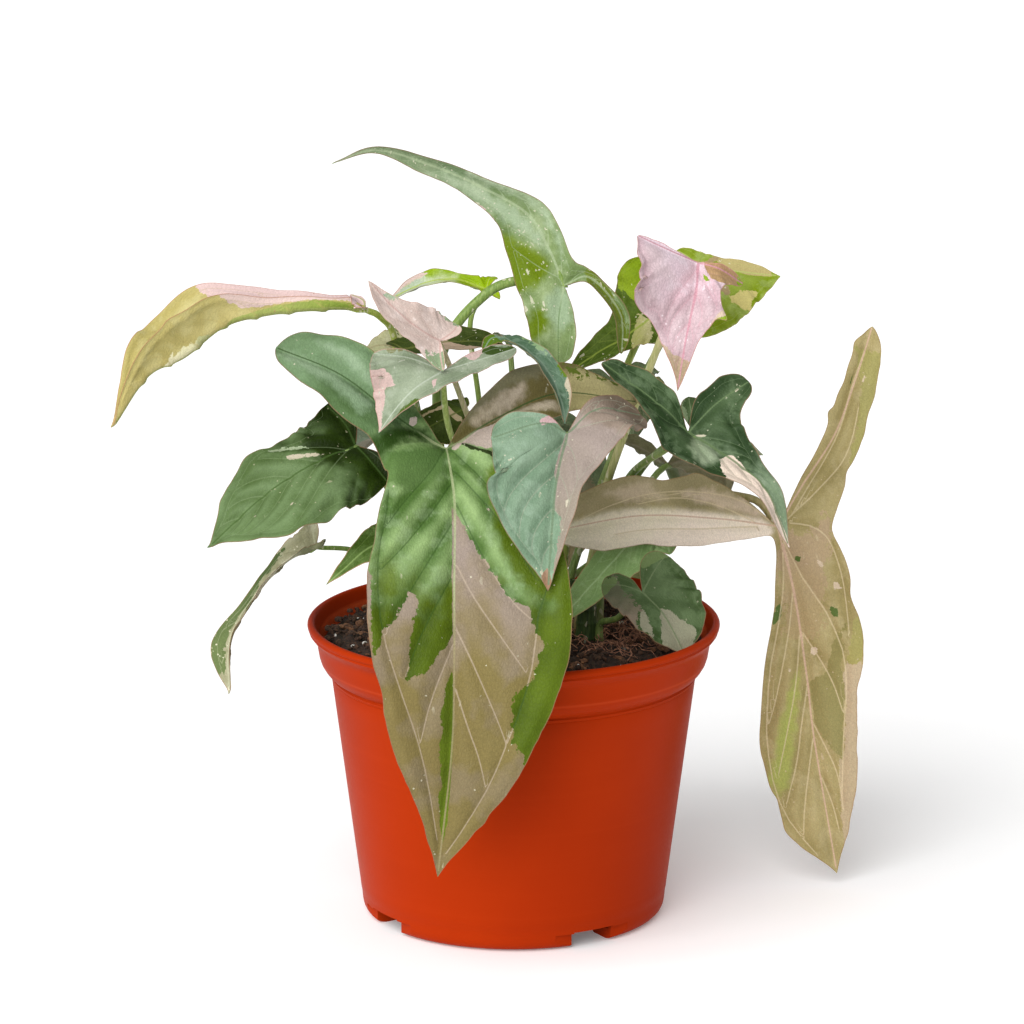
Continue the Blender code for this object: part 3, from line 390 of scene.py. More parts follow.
        join=(38, 54, 126), mid=[(43, 69, 119), (46, 82, 101), (47, 89, 77)], face=(0.2, 0.6, 0.75), fold=8,
        half=([12, 15, 15, 12, 8, 4], [12, 15, 15, 12, 8, 4]),
        lobes=[
            dict(to=[(46, 50, 130), (52, 46, 130)], half=([10, 6], [4, 5])),
            dict(to=[(30, 52, 131), (24, 49, 132)], half=([10, 6], [4, 5])),
        ],
        crown="b", turn=20, via=[(12, 30, 112), (27, 45, 119)], stalk=1.4),
}



def paint(red, green, blue):
    """A colour given as it looks on a screen, 0 to 255, as Blender wants it."""
    parts = (part / 255 for part in (red, green, blue))
    return (*(p / 12.92 if p <= 0.04045 else ((p + 0.055) / 1.055) ** 2.4 for p in parts), 1)


# Colours that several leaves share
CREAM = (222, 216, 190)
PINK = (222, 196, 190)
BEIGE = (186, 169, 154)
OLIVE = (151, 136, 84)
MOSS = (82, 104, 36)
MARGIN = (150, 112, 86)
UNDER = (146, 156, 128)
STALK = ((96, 122, 58), (150, 168, 100))

# Each leaf's colours, in groups:
# ground: by the side veins, between them and in clouds; far: the first two towards the tip, with the
#   places along the leaf where the change starts and ends; between and mottle: how strong the last two are.
# patches: outlines, the colour near the join and far from it, how jagged the border is (0 is soft), and
#   where along the leaf the first colour turns to the second.
# veins: the leaf's own side veins, in place of the usual ones; vein: their colour, patch_vein on the
#   patches; veined: how strongly it shows.
# rib, far_rib and lobe_rib: the mid vein's colour, towards the tip and on the lobes; ribbed: how strongly.
# flecks: colour and amount; net: how dark the finest veins are; margin: the colour of the edge.
# under and behind: the lower side's colour and how strongly it shows; tone: lightness of the whole leaf.
# stalk: the stalk's dark and pale colour.
LOOKS = {
    "leaf_front": dict(
        ground=((80, 112, 50), (152, 180, 118), (176, 200, 154)), far=((66, 86, 8), (88, 108, 18), 44, 64),
        patches=[
            ([[(23, 1), (31, -2), (41, -8), (50, -14), (59, -20), (62, -27), (71, -29), (75, -33),
             (78, -30), (87, -28), (90, -24), (93, -21), (108, -21), (112, -25), (116, -26), (124, -34),
             (165, -6), (165, 6), (120, 32), (80, 36), (78, 28), (70, 25), (66, 21), (60, 18), (56, 16),
             (59, 13), (69, 15), (79, 16), (87, 17), (84, 10), (79, 6), (71, 0.5)], [(46, 31.5), (52, 29.5),
             (64, 29.6), (79, 29), (80, 36), (46, 36)]], (160, 144, 132), (128, 114, 68), 0.55, (20, 110)),
            ([[(83, 0.4), (90, 3), (100, 4.5), (105, 3.5), (110, 5), (118, 3.5), (125, 2.5), (130, 3),
             (138, 1.5), (147, -0.3), (138, -1), (120, -0.4), (100, -0.1)]], (84, 102, 18), (98, 118, 26),
             0.35, (80, 140)),
            # painted shade: a darker strip of the left lobe just beyond the left crease, where the blade's
            # fold shades it
            ([[(-3, 2), (-4, 9), (-2, 17.5), (4, 23), (12, 27), (4, 31), (-5, 28), (-9, 18), (-8, 7)]],
             (44, 70, 20), (54, 82, 28), 0, (-9, 9)),
            ([[(1, 1), (1, 22), (6, 27), (16, 26), (19, 18), (15, 8), (12, 2)]], (84, 114, 58),
             (96, 126, 68), 0, (0, 14)),
            ([[(14, -12), (24, -12), (34, -14), (44, -18), (56, -26), (62, -40), (50, -44), (30, -34),
             (12, -20)]], (92, 116, 24), (84, 104, 16), 0, (20, 60)),
            ([[(-12, 7), (-22, 15), (-36, 24), (-48, 40), (-52, 56), (-40, 64), (-20, 56), (-8, 42),
             (-2, 32), (-6, 22)]], (84, 112, 66), (118, 146, 106), 0, (-10, -34)),
            # painted highlight: two pale grey-green streaks along the middle of the left lobe
            ([[(-16, 24), (-24, 34), (-34, 45), (-42, 54), (-40, 57), (-30, 48), (-20, 38), (-12, 30)],
             [(-22, 22), (-30, 27), (-38, 34), (-42, 42), (-36, 38), (-28, 30)]], (134, 160, 124),
             (148, 172, 138), 0, (-10, -34)),
            # painted shadow: a thin dark band along the right crease, where the lobe's edge shades the
            # blade
            ([[(8, -18), (5, -12.4), (2, -8.6), (-1, -5), (1, -5), (4, -8.4), (7, -12.6), (10, -17)]],
             (44, 54, 26), (52, 66, 30), 0.2, (0, 9)),
            ([[(-20, -78), (-56, -74), (-56, -30), (-34, -18), (-14, -6), (-3, -1), (-1, -3), (-5, -14),
             (-9, -22), (-8, -34), (-10, -50)]], (116, 106, 64), (104, 96, 54), 0, (-40, 0)),
            ([[(-37, -36), (-33, -26), (-16, -9), (-8, -4), (-11, -11), (-21, -22), (-27, -32),
             (-32, -41)]], (126, 122, 94), (134, 128, 98), 0, (-40, 0)),
            # painted highlight: a pale arc and a pale spot on the rear lobe's dome
            ([[(-25, -30), (-20.5, -30.5), (-14, -23), (-8.5, -13), (-9, -9.5), (-13, -13), (-19, -20)],
             [(-15, -44), (-19, -41), (-17, -32), (-13, -26), (-12, -34)]], (200, 184, 164),
             (186, 172, 148), 0, (-40, 0)),
            ([[(-14, -44), (-30, -41), (-38, -46), (-48, -64), (-38, -72), (-28, -58), (-18, -52)]],
             (184, 174, 124), (168, 158, 108), 0, (-40, -10)),
            ([[(-46, -64), (-44, -50), (-37, -43), (-40, -50), (-42, -60)], [(-33, -45), (-36, -43),
             (-37, -50)]], (96, 112, 36), (104, 118, 44), 1.5, (-40, 0)),
            ([[(-9, -20), (-7, -12), (-3, -5), (1, -2), (2, -1), (2.4, -4), (-1, -8), (4, -14), (3, -17.5),
             (-4, -19)], [(-12, 10), (-10, 9.3), (-9, 11), (-10, 12.4), (-12, 12)], [(25, -10.4),
             (28.5, -12.2), (28, -11)], [(45, -20.5), (46.3, -20), (46, -19)]], (205, 188, 178),
             BEIGE, 0.3, (-20, 30)),
        ],
        veins=[
            [(1, 1), (10, 7), (24, 19), (34, 26)], [(16, 1), (28, 9), (40, 18), (49, 26)],
            [(31, 1), (45, 9), (57, 16), (70, 24)], [(50, 0.5), (62, 7), (74, 13), (85, 17)],
            [(75, 0.5), (86, 5), (98, 9), (110, 11.5)],
            [(20, 24), (40, 27), (57, 27), (72, 25), (88, 20), (110, 12), (126, 7), (146, 1.5)],
            [(1, -1), (12, -8), (24, -15), (36, -27)], [(10, -1), (22, -8), (36, -18), (52, -29)],
            [(24, -0.5), (36, -6), (50, -14), (60, -21), (66, -27)],
            [(46, -0.5), (58, -7), (70, -15), (84, -25)], [(69, -0.5), (80, -6), (93, -12), (109, -19)],
            [(90, -0.3), (103, -5), (115, -10), (124, -13)],
            [(30, -31), (50, -34), (64, -30), (80, -28), (96, -24), (109, -19), (124, -14), (138, -8),
                (150, -2)],
        ],
        # vein: thin dark lines, painted shade in the grooves of the side veins
        between=0.6, mottle=0.25, vein=(50, 80, 30), patch_vein=(190, 172, 152), rib=(174, 184, 138),
        far_rib=(156, 144, 106), lobe_rib=(62, 88, 44), flecks=(CREAM, 0.012), net=0.08, veined=0.5),
    "leaf_mid_front": dict(
        ground=((118, 146, 118), (146, 171, 144), (158, 182, 158)),
        patches=[
            ([[(-34, -34), (-10, -3.5), (-1, 0.4), (6, 0.9), (17, 1.2), (21, -0.2), (31, 0), (34, -3),
             (40, -3), (47, -2.2), (53, -1.2), (62, -3), (40, -18), (0, -36)]], (168, 153, 144),
             (158, 146, 131), 0.45, (-5, 40)),
            ([[(-40, -34), (-40, -4), (-16, -3), (-8, -2.5), (-4, -8), (-2, -14), (-1, -22), (-4, -40)]],
             (112, 98, 82), (150, 134, 120), 0, (-24, -6)),
            ([[(-2, 4), (-0.4, 9), (0.4, 10.2), (-2, 10.8), (-3.6, 8.4), (-3.2, 4.6)]], (206, 172, 172),
             (206, 172, 172), 0.25, (0, 9)),
            ([[(52, 0.5), (55, 2.5), (63, 1), (62, -2), (55, -0.4)]], (172, 142, 120), (150, 118, 92),
             0.3, (50, 60)),
        ],
        vein=(166, 172, 150), rib=(112, 134, 104), flecks=(CREAM, 0.04), veined=0.45, tone=0.98),
    "leaf_right_dark": dict(
        ground=((44, 66, 34), (88, 110, 74), (112, 134, 98)),
        far=((118, 138, 108), (152, 166, 142), 16, 34),
        patches=[
            ([[(17, 0), (16.5, 3), (18, 6), (22, 8.5), (26, 10), (42, 7), (62, 2), (60, -0.6), (50, -0.3),
             (40, 0), (27, 0.2), (23, -1.1), (18, -1.1)]], (234, 216, 198), (230, 210, 194),
             0.35, (18, 50)),
            ([[(3, 1), (6, 9.5), (14, 10.5), (17.5, 4), (12, 0.6)]], (150, 166, 132), (156, 170, 140),
             0, (3, 16)),
            ([[(2.6, -0.5), (6.3, -2.8), (6.3, -2), (3.2, 0)], [(2, -25), (2, -23.4), (2.8, -23),
             (2.7, -25)]], (206, 194, 172), CREAM, 0.15, (0, 9)),
        ],
        vein=(118, 140, 100), rib=(104, 126, 84), flecks=((186, 190, 160), 0.05), between=0.5),
    "leaf_right_long": dict(
        ground=((150, 136, 88), (168, 154, 108), (178, 164, 122)),
        patches=[
            ([[(0, -18), (5, -12), (3, -2), (12, 4), (40, 6), (44, -2), (40, -9), (22, -13), (8, -19)]],
             (174, 152, 120), (166, 147, 106), 1.6, (0, 40)),
            ([[(52, -18), (56, -14), (72, -13), (88, -10.5), (90, -8), (96, -7), (108, -6), (118, -5),
             (132, -5), (100, -20), (60, -26)]], (182, 164, 134), (176, 158, 126), 0.4, (52, 120)),
            ([[(40, -18), (45, -15), (52, -15), (55, -13), (70, -13), (88, -10), (90, -9), (86, -6),
             (76, -1), (60, -0.6), (56, -8), (45, -12)]], (138, 128, 78), (143, 135, 86), 0.5, (40, 90)),
            ([[(54, 2), (64, 3.5), (76, 6), (88, 9.5), (98, 13), (100, 17), (94, 19), (84, 15), (72, 11),
             (60, 6)]], (160, 164, 88), (154, 158, 84), 0, (50, 100)),
            ([[(38, -21), (42, -19.4), (52, -16), (56, -18), (48, -26), (38, -26)], [(-58, -50), (-42, -45),
             (-24, -34), (-8, -29), (-4, -34), (-26, -46), (-48, -60)]], (156, 149, 92), (156, 148, 88),
             0.6, (0, 99)),
            ([[(12.6, -3), (12, -4.2), (13.5, -5.4), (15, -4.6), (14.5, -3.3)], [(33, -11.8), (33, -14.5),
             (36, -15.6), (37.6, -14.6), (36, -12.4)], [(28, 6), (30, 8.5), (36, 10.5), (36, 9), (33, 6)],
             [(-50, -46), (-48, -44.6), (-40, -37), (-46, -43)]], (86, 106, 52), (92, 110, 56),
             0.3, (0, 99)),
            ([[(15.6, -12), (18.6, -13.8), (19, -12.6), (16.3, -11)], [(24.5, -16), (28, -17.8),
             (27.8, -15), (25, -15)], [(47, -3), (47, -5.6), (50, -5.2), (50, -2.6)], [(-46, -47.8),
             (-46, -48.8), (-43.6, -47), (-44.4, -46)], [(15, -6.2), (17, -8), (17, -7)], [(53, 6),
             (55.4, 6.8), (54.6, 5.6)]], (200, 180, 154), (204, 186, 160), 0.25, (0, 99)),
            ([[(0, 2), (-6, 6), (-10, 18), (-16, 32), (-22, 46), (-30, 64), (-34, 76), (-38, 90), (-24, 94),
             (-8, 66), (0, 40), (4, 20), (5, 4)]], (240, 224, 206), (220, 212, 184), 0, (-2, -36)),
            ([[(-52, 94), (-52, 20), (-20, 8), (-2, 0.6), (-8, 14), (-15, 31), (-21, 45), (-30, 66),
             (-36, 84)]], (136, 127, 88), (158, 146, 108), 0, (-6, -34)),
            ([[(-5, 5), (-13, 22), (-20, 33), (-25, 40), (-22, 26), (-14, 12)], [(-24, 44), (-34, 50),
             (-38, 66), (-30, 60)]], (198, 178, 154), (186, 170, 140), 0, (-4, -36)),
        ],
        veins=[
            [(6, -0.5), (22, -4.5), (32, -9.5), (42, -13), (54, -15), (74, -12.6), (88, -10), (110, -6)],
            [(0, -5), (3, -12), (9, -17), (20, -18.6), (34, -18.4), (44, -18)],
            [(41, -0.5), (50, -5), (60, -9), (72, -12)], [(76, -0.5), (86, -4), (97, -6.6), (110, -6.6)],
            [(97, -0.3), (107, -2.6), (118, -3.6)],
            [(10, 0.5), (24, 4), (40, 9), (56, 14), (74, 17), (96, 17.6), (112, 14), (126, 6)],
            [(26, 0.5), (42, 5), (60, 11), (74, 16)], [(42, 0.4), (58, 4), (76, 9), (92, 15)],
            [(62, 0.4), (76, 4), (90, 8), (104, 14)], [(82, 0.4), (94, 4), (108, 8), (118, 10)],
            [(-3, -6), (-16, -18), (-30, -30), (-44, -42), (-54, -52)],
            [(-2, -4), (-10, -18), (-20, -30), (-36, -41)],
            [(-3, 3), (-14, 14), (-22, 30), (-28, 48), (-32, 66), (-34, 80)],
            [(-4, 9), (-15, 24), (-23, 40), (-27, 56)], [(-2, 8), (-7, 28), (-13, 46), (-22, 70)],
        ],
        vein=(206, 188, 152), rib=(200, 168, 146), flecks=((190, 172, 140), 0.02), veined=0.6,
        margin=(150, 120, 80), stalk=((120, 116, 64), (168, 150, 110)), net=0.08, tone=1.18),
    "leaf_pink": dict(
        ground=((214, 182, 190), (229, 206, 215), (238, 222, 230)),
        far=((190, 162, 168), (206, 184, 188), 6, 20),
        patches=[
            ([[(18, -14), (25, -8.6), (35, -5.4), (40, -3), (38, 3), (35, 9), (44, 9), (56, 0), (44, -8),
             (28, -18)]], (205, 184, 162), (164, 144, 116), 0.5, (24, 46)),
            ([[(-3, -26), (-2, -1.6), (2, -2.4), (8, -5), (9.5, -8), (10, -26)]], (166, 130, 98),
             (178, 146, 104), 0.15, (0, 9)),
            ([[(23, -15), (25, -9.6), (30, -8), (33.5, -6.6), (33, -10), (28, -16)], [(5.3, -2), (7, -3.2),
             (9.4, -4.8), (9, -3.2), (7, -2)], [(3, -24), (3.4, -17.6), (7.6, -17), (9, -24)]],
             (136, 164, 34), (136, 160, 44), 0.3, (0, 30)),
        ],
        vein=(200, 146, 158), rib=(196, 140, 152), flecks=((240, 228, 232), 0.05), margin=(186, 130, 120),
        # tone above 1 is painted light: it lifts the whole leaf, whose lobe faces away from the light
        under=(196, 168, 150), between=0.8, net=0.12, mottle=0.5, tone=1.16,
        stalk=((150, 160, 84), (206, 196, 150))),
    "leaf_lime_left": dict(
        ground=((74, 96, 20), (88, 110, 36), (112, 134, 60)),
        patches=[
            ([[(6, -9), (0, -1), (2, 4), (10, -2), (15, -9)]], (196, 190, 140), (176, 174, 110),
             0.5, (0, 12)),
            ([[(-20, 4), (-8, 0), (-1, 3), (1, 22), (-14, 24)]], (126, 152, 20), (140, 164, 36),
             0.5, (-12, 0)),
            ([[(-14, 17), (-6, 9.4), (0, 2.6), (-4, 4), (-9, 10), (-14, 14)]], PINK, PINK, 0.5, (0, 9)),
        ],
        vein=(150, 168, 70), flecks=(CREAM, 0.06), tone=1.12, stalk=((112, 134, 48), (170, 178, 96))),
    "leaf_lime_right": dict(
        ground=((128, 150, 14), (156, 176, 72), (172, 190, 112)),
        patches=[
            ([[(5, -8), (7, -3.4), (12, -0.4), (18, 1), (24, 0.8), (27, 0.4), (26, -5), (12, -10)]],
             (184, 170, 112), (188, 174, 116), 0.4, (0, 25)),
            ([[(9.6, 11.6), (12, 15), (16, 18.4), (18, 18.2), (20.5, 12), (22, 8.8), (20, 8.8),
             (15, 10.4)]], (212, 200, 126), (212, 200, 126), 0.4, (0, 25)),
            ([[(6, 6), (8, 11.4), (12.6, 11.6), (10, 7.4)], [(-8, -16), (-10, -6), (2, -4), (9, -6),
             (3, -1), (-3, -3)]], (190, 158, 112), (170, 150, 108), 0.5, (-8, 9)),
        ],
        vein=(186, 196, 116), flecks=(CREAM, 0.05), margin=(176, 160, 96)),
    "leaf_top": dict(
        ground=((118, 142, 84), (152, 172, 118), (180, 196, 150)),
        far=((124, 148, 106), (158, 172, 136), 28, 46),
        patches=[
            ([[(2, -20), (3, -10), (5, -5), (9, -2.4), (14, -3), (18, -6), (22, -9), (28, -11.5), (36, -14),
             (20, -22)], [(-15, -22), (-14, -12), (-10, -7), (-6, -8), (-5, -12), (-7, -20)]],
             (104, 128, 0), (120, 142, 30), 0, (0, 30)),
            ([[(-16, -8), (-14, -1), (-7, 1), (-2, 0.6), (0, -3), (-3, -8), (-10, -9)]], (160, 182, 144),
             (164, 184, 148), 0, (0, 30)),
            ([[(14, -1), (20, -4), (28, -7), (40, -6), (56, -4), (70, -3), (60, 0), (40, -1), (26, -0.6)],
             [(8, 3), (20, 4), (36, 3), (56, 2), (56, 3.4), (36, 5), (18, 5.6)]], (168, 190, 152),
             (182, 198, 164), 0, (10, 60)),
            ([[(33, -12.6), (36, -9.5), (40, -7.6), (46, -5.6), (47, -8), (40, -12)]], (208, 182, 162),
             PINK, 0.3, (0, 50)),
            ([[(92, -6), (95, -1.5), (112, 0.6), (108, -5)]], (152, 176, 60), (160, 180, 70), 0.3, (0, 99)),
            ([[(-6, 14), (-3, 10), (2, 9), (4, 13), (2, 24), (4, 34), (12, 44), (12, 54), (-4, 54)]],
             (116, 134, 46), (98, 120, 28), 0.7, (0, 9)),
        ],
        vein=(190, 204, 170), rib=(182, 198, 158), lobe_rib=(98, 128, 72), ribbed=0.6,
        flecks=((226, 222, 196), 0.12), tone=0.91, stalk=((88, 116, 46), (142, 162, 88))),
    "leaf_left_long": dict(
        ground=((174, 162, 98), (191, 179, 119), (198, 190, 134)),
        patches=[
            ([[(-10, -24), (-10, 24), (20, 16), (40, 17), (58, 17), (53, 8), (47, 3), (40, 2.4), (20, 2.4),
             (0, 2), (0, -2), (20, -2.2), (40, -2.2), (47, -3), (53, -7), (59, -14), (40, -16), (20, -14)]],
             (214, 188, 186), (210, 184, 180), 0.25, (0, 50)),
            ([[(4, -1.5), (20, -2.1), (35, -1.7), (50, -0.8), (57, 0), (50, 0.8), (35, 1.7), (20, 2.1),
             (4, 1.5)]], (118, 142, 46), (152, 164, 88), 0.3, (10, 50)),
            ([[(59, 0), (64, -2), (75, -2.2), (81, 0), (75, 2.2), (64, 2)]], (176, 180, 128),
             (244, 236, 200), 0.6, (58, 80)),
        ],
        vein=(170, 152, 92), rib=(150, 158, 92), margin=(172, 112, 88), flecks=((160, 120, 90), 0.01),
        under=(192, 180, 124), behind=0.1, tone=1.25, stalk=((120, 142, 48), (176, 182, 96))),
    "leaf_small_pink": dict(
        ground=((200, 180, 170), (214, 196, 188), (224, 208, 202)),
        patches=[
            ([[(20, 10), (24, 1), (28, 0.6), (27, 7), (20, 13)], [(-8, -1), (-8, -15), (6, -15), (4.6, -7),
             (0, -5)], [(-8, 6), (-6, 14), (10, 14), (8, 11.6), (0, 10.6)]], (132, 150, 116),
             (156, 172, 146), 0.8, (0, 22)),
        ],
        vein=(190, 158, 150), margin=(196, 160, 146), flecks=((232, 220, 214), 0.05), tone=1.22,
        stalk=((140, 150, 90), (196, 176, 150))),
    "leaf_pink_tip": dict(
        ground=((134, 148, 120), (164, 176, 150), (178, 188, 166)),
        patches=[
            ([[(17, 6), (20, 8), (25, 4.6), (33, -0.6), (35, 1), (24, 17), (17, 15)], [(3.5, -1.6), (7, -4),
             (6, -1.2)], [(-20, 0), (-17, 3), (-9, 2.4), (-13, -1.4)]], (212, 184, 178), (210, 184, 174),
             0.35, (0, 30)),
            ([[(13, -7), (15, -3), (22, -1.6), (25, -3), (18, -8)], [(-34, -4), (-20, 1.6), (-17, 0),
             (-22, -3.4)]], (60, 82, 32), MOSS, 0.3, (0, 22)),
            ([[(0.6, 8), (3, 14), (8, 19), (10, 30), (0, 30), (-3, 18)]], (120, 118, 80), (138, 140, 100),
             1.0, (0, 12)),
        ],
        vein=(186, 196, 176), margin=(196, 150, 140), flecks=((206, 210, 190), 0.08),
        stalk=((118, 142, 60), (176, 186, 120))),
    "leaf_far_lime": dict(
        ground=((136, 166, 2), (154, 186, 4), (162, 190, 24)),
        patches=[
            ([[(23.4, -8), (23, 0), (23.6, 8), (46, 0)]], (182, 195, 170), (168, 182, 152), 0.5, (24, 40)),
            ([[(10, -7), (12, 2), (24, 2), (25, -7)]], (184, 198, 140), (194, 206, 166), 0, (10, 24)),
            ([[(21, 3.4), (30, 1.8), (38, 0.4), (40, 2), (30, 6)]], (216, 192, 182), PINK, 0.3, (24, 40)),
        ],
        vein=(170, 188, 80), flecks=(CREAM, 0.03), tone=1.12, stalk=((92, 118, 44), (150, 166, 90))),
    "leaf_left_green": dict(
        ground=((28, 44, 0), (40, 60, 8), (56, 76, 22)), far=((84, 108, 58), (114, 138, 92), 10, 26),
        patches=[
            ([[(11, 0.9), (15, 3), (19, 5.4), (24.4, 8.4), (24.2, 6.4), (18, 3.4), (14, 1.6)], [(33, -13.6),
             (33.6, -12.4), (32.6, -11.8), (32.4, -13.4)], [(45.6, -7), (46.4, -5.2), (45.4, -5)]],
             (204, 192, 166), (200, 190, 166), 0.2, (0, 22)),
            ([[(15, 6), (20, 9), (26, 12), (30, 15), (24, 12), (18, 8.4)]], (158, 174, 136),
             (166, 180, 146), 0.4, (0, 22)),
        ],
        vein=(138, 158, 116), rib=(70, 96, 44), flecks=((196, 192, 158), 0.02), between=0.7),
    "leaf_low_left": dict(
        ground=((140, 138, 106), (168, 165, 138), (184, 182, 158)),
        patches=[
            ([[(34, 0), (40, 1), (60, 1), (66, 6), (40, 9), (20, 7), (10, 5), (20, 2)], [(31, -9), (31, 0),
             (36, -1), (36, -9)]], (76, 92, 50), (96, 110, 66), 0.8, (20, 60)),
            ([[(8, -7), (8, -0.5), (30, -0.5), (30, -7)]], (236, 236, 210), (232, 232, 204), 0, (8, 30)),
            ([[(14, -7), (17.5, -7), (17, 0), (14.4, 0)]], (118, 106, 82), (124, 112, 88), 0.8, (0, 22)),
        ],
        vein=(176, 176, 146), flecks=(CREAM, 0.1), under=(120, 132, 94), tone=1.25,
        stalk=((104, 136, 58), (158, 178, 104))),
    "leaf_small_dark": dict(
        ground=((54, 74, 24), (72, 90, 44), (86, 106, 58)), vein=(108, 128, 74), flecks=(CREAM, 0.01),
        tone=2.7),
    "leaf_low_right": dict(
        ground=((112, 138, 86), (128, 152, 102), (142, 164, 116)), vein=(148, 168, 122),
        # tone 2.3 is painted light: it lifts a leaf that lies in shade
        flecks=(CREAM, 0.02), between=0.4, tone=2.3),
    "leaf_in_pot": dict(
        ground=((66, 88, 46), (92, 112, 74), (116, 138, 96)),
        patches=[
            ([[(9, -0.8), (13, -3), (22, -8), (32, -2), (32, 4), (22, 7), (14, 3)], [(5.4, 5.4), (8, 9),
             (14, 11.4), (19, 9), (12, 7)]], (156, 154, 130), (158, 158, 132), 0.4, (9, 24)),
            ([[(-12, 1), (-4, 6), (6, 6.6), (10, 12), (16, 14), (0, 20), (-14, 12)]], (106, 108, 84),
             (140, 126, 108), 1.2, (-8, 9)),
            ([[(-16, 4), (-13, 14), (-9, 12), (-9.6, 2)], [(-13, -18), (-7, -18), (-7.4, -6), (-11, -6)]],
             (114, 134, 84), (120, 140, 90), 0.5, (0, 9)),
        ],
        vein=(118, 134, 96), flecks=((170, 172, 140), 0.03)),
    "leaf_curled": dict(
        ground=((76, 104, 78), (122, 148, 126), (156, 176, 156)),
        patches=[
            ([[(3, -9), (4, -4), (12, -3), (18, -3.6), (24, -9)]], (130, 158, 110), (144, 168, 132),
             0.7, (4, 24)),
            ([[(-4, 3), (4, 3.4), (14, 6.4), (8, 10), (-6, 12)], [(22, -9), (24, -4), (29, -3), (30, -8)]],
             (84, 114, 20), (92, 120, 30), 0.6, (0, 22)),
            ([[(29, -8), (30, -3), (40, -2.4), (48, -0.6), (40, -6)]], (192, 182, 158), (180, 168, 140),
             0.5, (28, 44)),
        ],
        vein=(128, 150, 128), flecks=(CREAM, 0.04), tone=1.1),
    "leaf_pale": dict(
        ground=((176, 174, 128), (200, 200, 156), (214, 212, 176)),
        patches=[
            ([[(-2, 4), (3, 8), (-5, 7)]], (86, 98, 48), (100, 110, 60), 0.4, (0, 9)),
        ],
        vein=(170, 160, 120), flecks=(CREAM, 0.04)),
    "leaf_two_tone": dict(
        ground=((56, 72, 18), (72, 88, 34), (90, 106, 50)),
        patches=[
            ([[(13, -0.4), (14, 9), (32, 9), (29, 5.6), (20, 2), (16, -1)]], (206, 180, 154),
             (190, 164, 140), 0.3, (14, 30)),
        ],
        vein=(112, 120, 56), margin=(128, 112, 62), tone=0.85),
    "leaf_behind_front": dict(
        ground=((50, 64, 16), (64, 78, 28), (80, 94, 42)),
        patches=[
            ([[(3.4, -5), (3, -3), (4.6, 5.6), (15, 5.6), (15, 4.8), (6.4, 4), (5.4, -3)]], (178, 162, 130),
             (168, 150, 118), 0.2, (0, 12)),
        ],
        vein=(92, 104, 46), margin=(140, 124, 84), tone=1.75),
    "leaf_behind_right": dict(
        ground=((70, 92, 52), (98, 122, 78), (120, 142, 100)),
        patches=[
            ([[(-12, -14), (-3, -1), (-7, -1), (-12, -7)], [(14, -5), (18, 5), (28, 0), (22, -5)]],
             (134, 154, 112), (176, 190, 156), 0.6, (-8, 24)),
        ],
        vein=(132, 150, 108)),
    "leaf_back_droop": dict(
        ground=((66, 98, 46), (116, 146, 94), (140, 168, 116)), far=((80, 104, 34), (108, 130, 52), 50, 80),
        patches=[
            ([[(14, -0.5), (24, 6), (36, 16), (44, 22), (58, 24), (60, 30), (70, 34), (80, 26), (84, 17),
             (92, 14), (104, 8), (112, 0), (96, -0.5), (60, 0)], [(60, -40), (62, -22), (70, -14),
             (84, -10), (90, -4), (118, -1), (100, -30)]], BEIGE, OLIVE, 0.6, (10, 90)),
        ],
        vein=(172, 180, 140), rib=(190, 192, 160), between=0.7),
    "leaf_back_left": dict(
        ground=((104, 132, 102), (136, 160, 132), (152, 174, 150)),
        patches=[
            ([[(-2, 0.4), (12, 0.8), (26, -0.4), (36, 1.4), (46, 0.5), (58, 3), (40, 22), (8, 26),
             (-12, 18)]], (190, 174, 164), (180, 166, 148), 0.5, (0, 46)),
        ],
        vein=(168, 178, 152)),
    "leaf_back_right": dict(
        ground=((142, 128, 84), (162, 148, 106), (176, 160, 122)),
        patches=[
            ([[(8, -1), (18, -6), (30, -8), (40, -3), (34, -14), (16, -20)]], (98, 118, 56), (110, 126, 62),
             0.8, (0, 40)),
        ],
        vein=(186, 170, 132), rib=(192, 162, 138)),
    "leaf_back_top": dict(
        ground=((124, 148, 98), (156, 176, 130), (182, 196, 160)),
        patches=[
            ([[(6, 1), (16, 4), (26, 12), (38, 8), (30, 20), (10, 20)]], (120, 142, 30), (136, 154, 60),
             0.7, (0, 40)),
        ],
        vein=(188, 202, 168), flecks=(CREAM, 0.12)),
    "leaf_back_low": dict(
        ground=((60, 84, 40), (96, 120, 74), (118, 142, 96)),
        patches=[
            ([[(20, 0.4), (28, 5), (40, 9), (50, 6), (58, 0)]], (196, 182, 160), (176, 162, 130),
             0.6, (16, 56)),
        ],
        vein=(134, 152, 108), flecks=(CREAM, 0.04)),
    "leaf_back_low_right": dict(
        ground=((112, 138, 34), (140, 162, 62), (162, 182, 100)),
        patches=[
            ([[(8, -1), (20, -5), (34, -4), (46, -1), (30, -18), (8, -18)]], (202, 192, 142),
             (190, 178, 126), 0.7, (0, 44)),
        ],
        vein=(184, 194, 122), flecks=(CREAM, 0.06)),
}


# ---------------------------------------------------------------- curves

def soil_height(radius):
    """The soil's surface, a little higher in the middle."""
    return SOIL_EDGE + (SOIL_TOP - SOIL_EDGE) * (1 - (radius / BAND_RADIUS) ** 2)


def unit(vector):
    """The vector at length 1."""
    return vector / max(np.linalg.norm(vector), 1e-9)


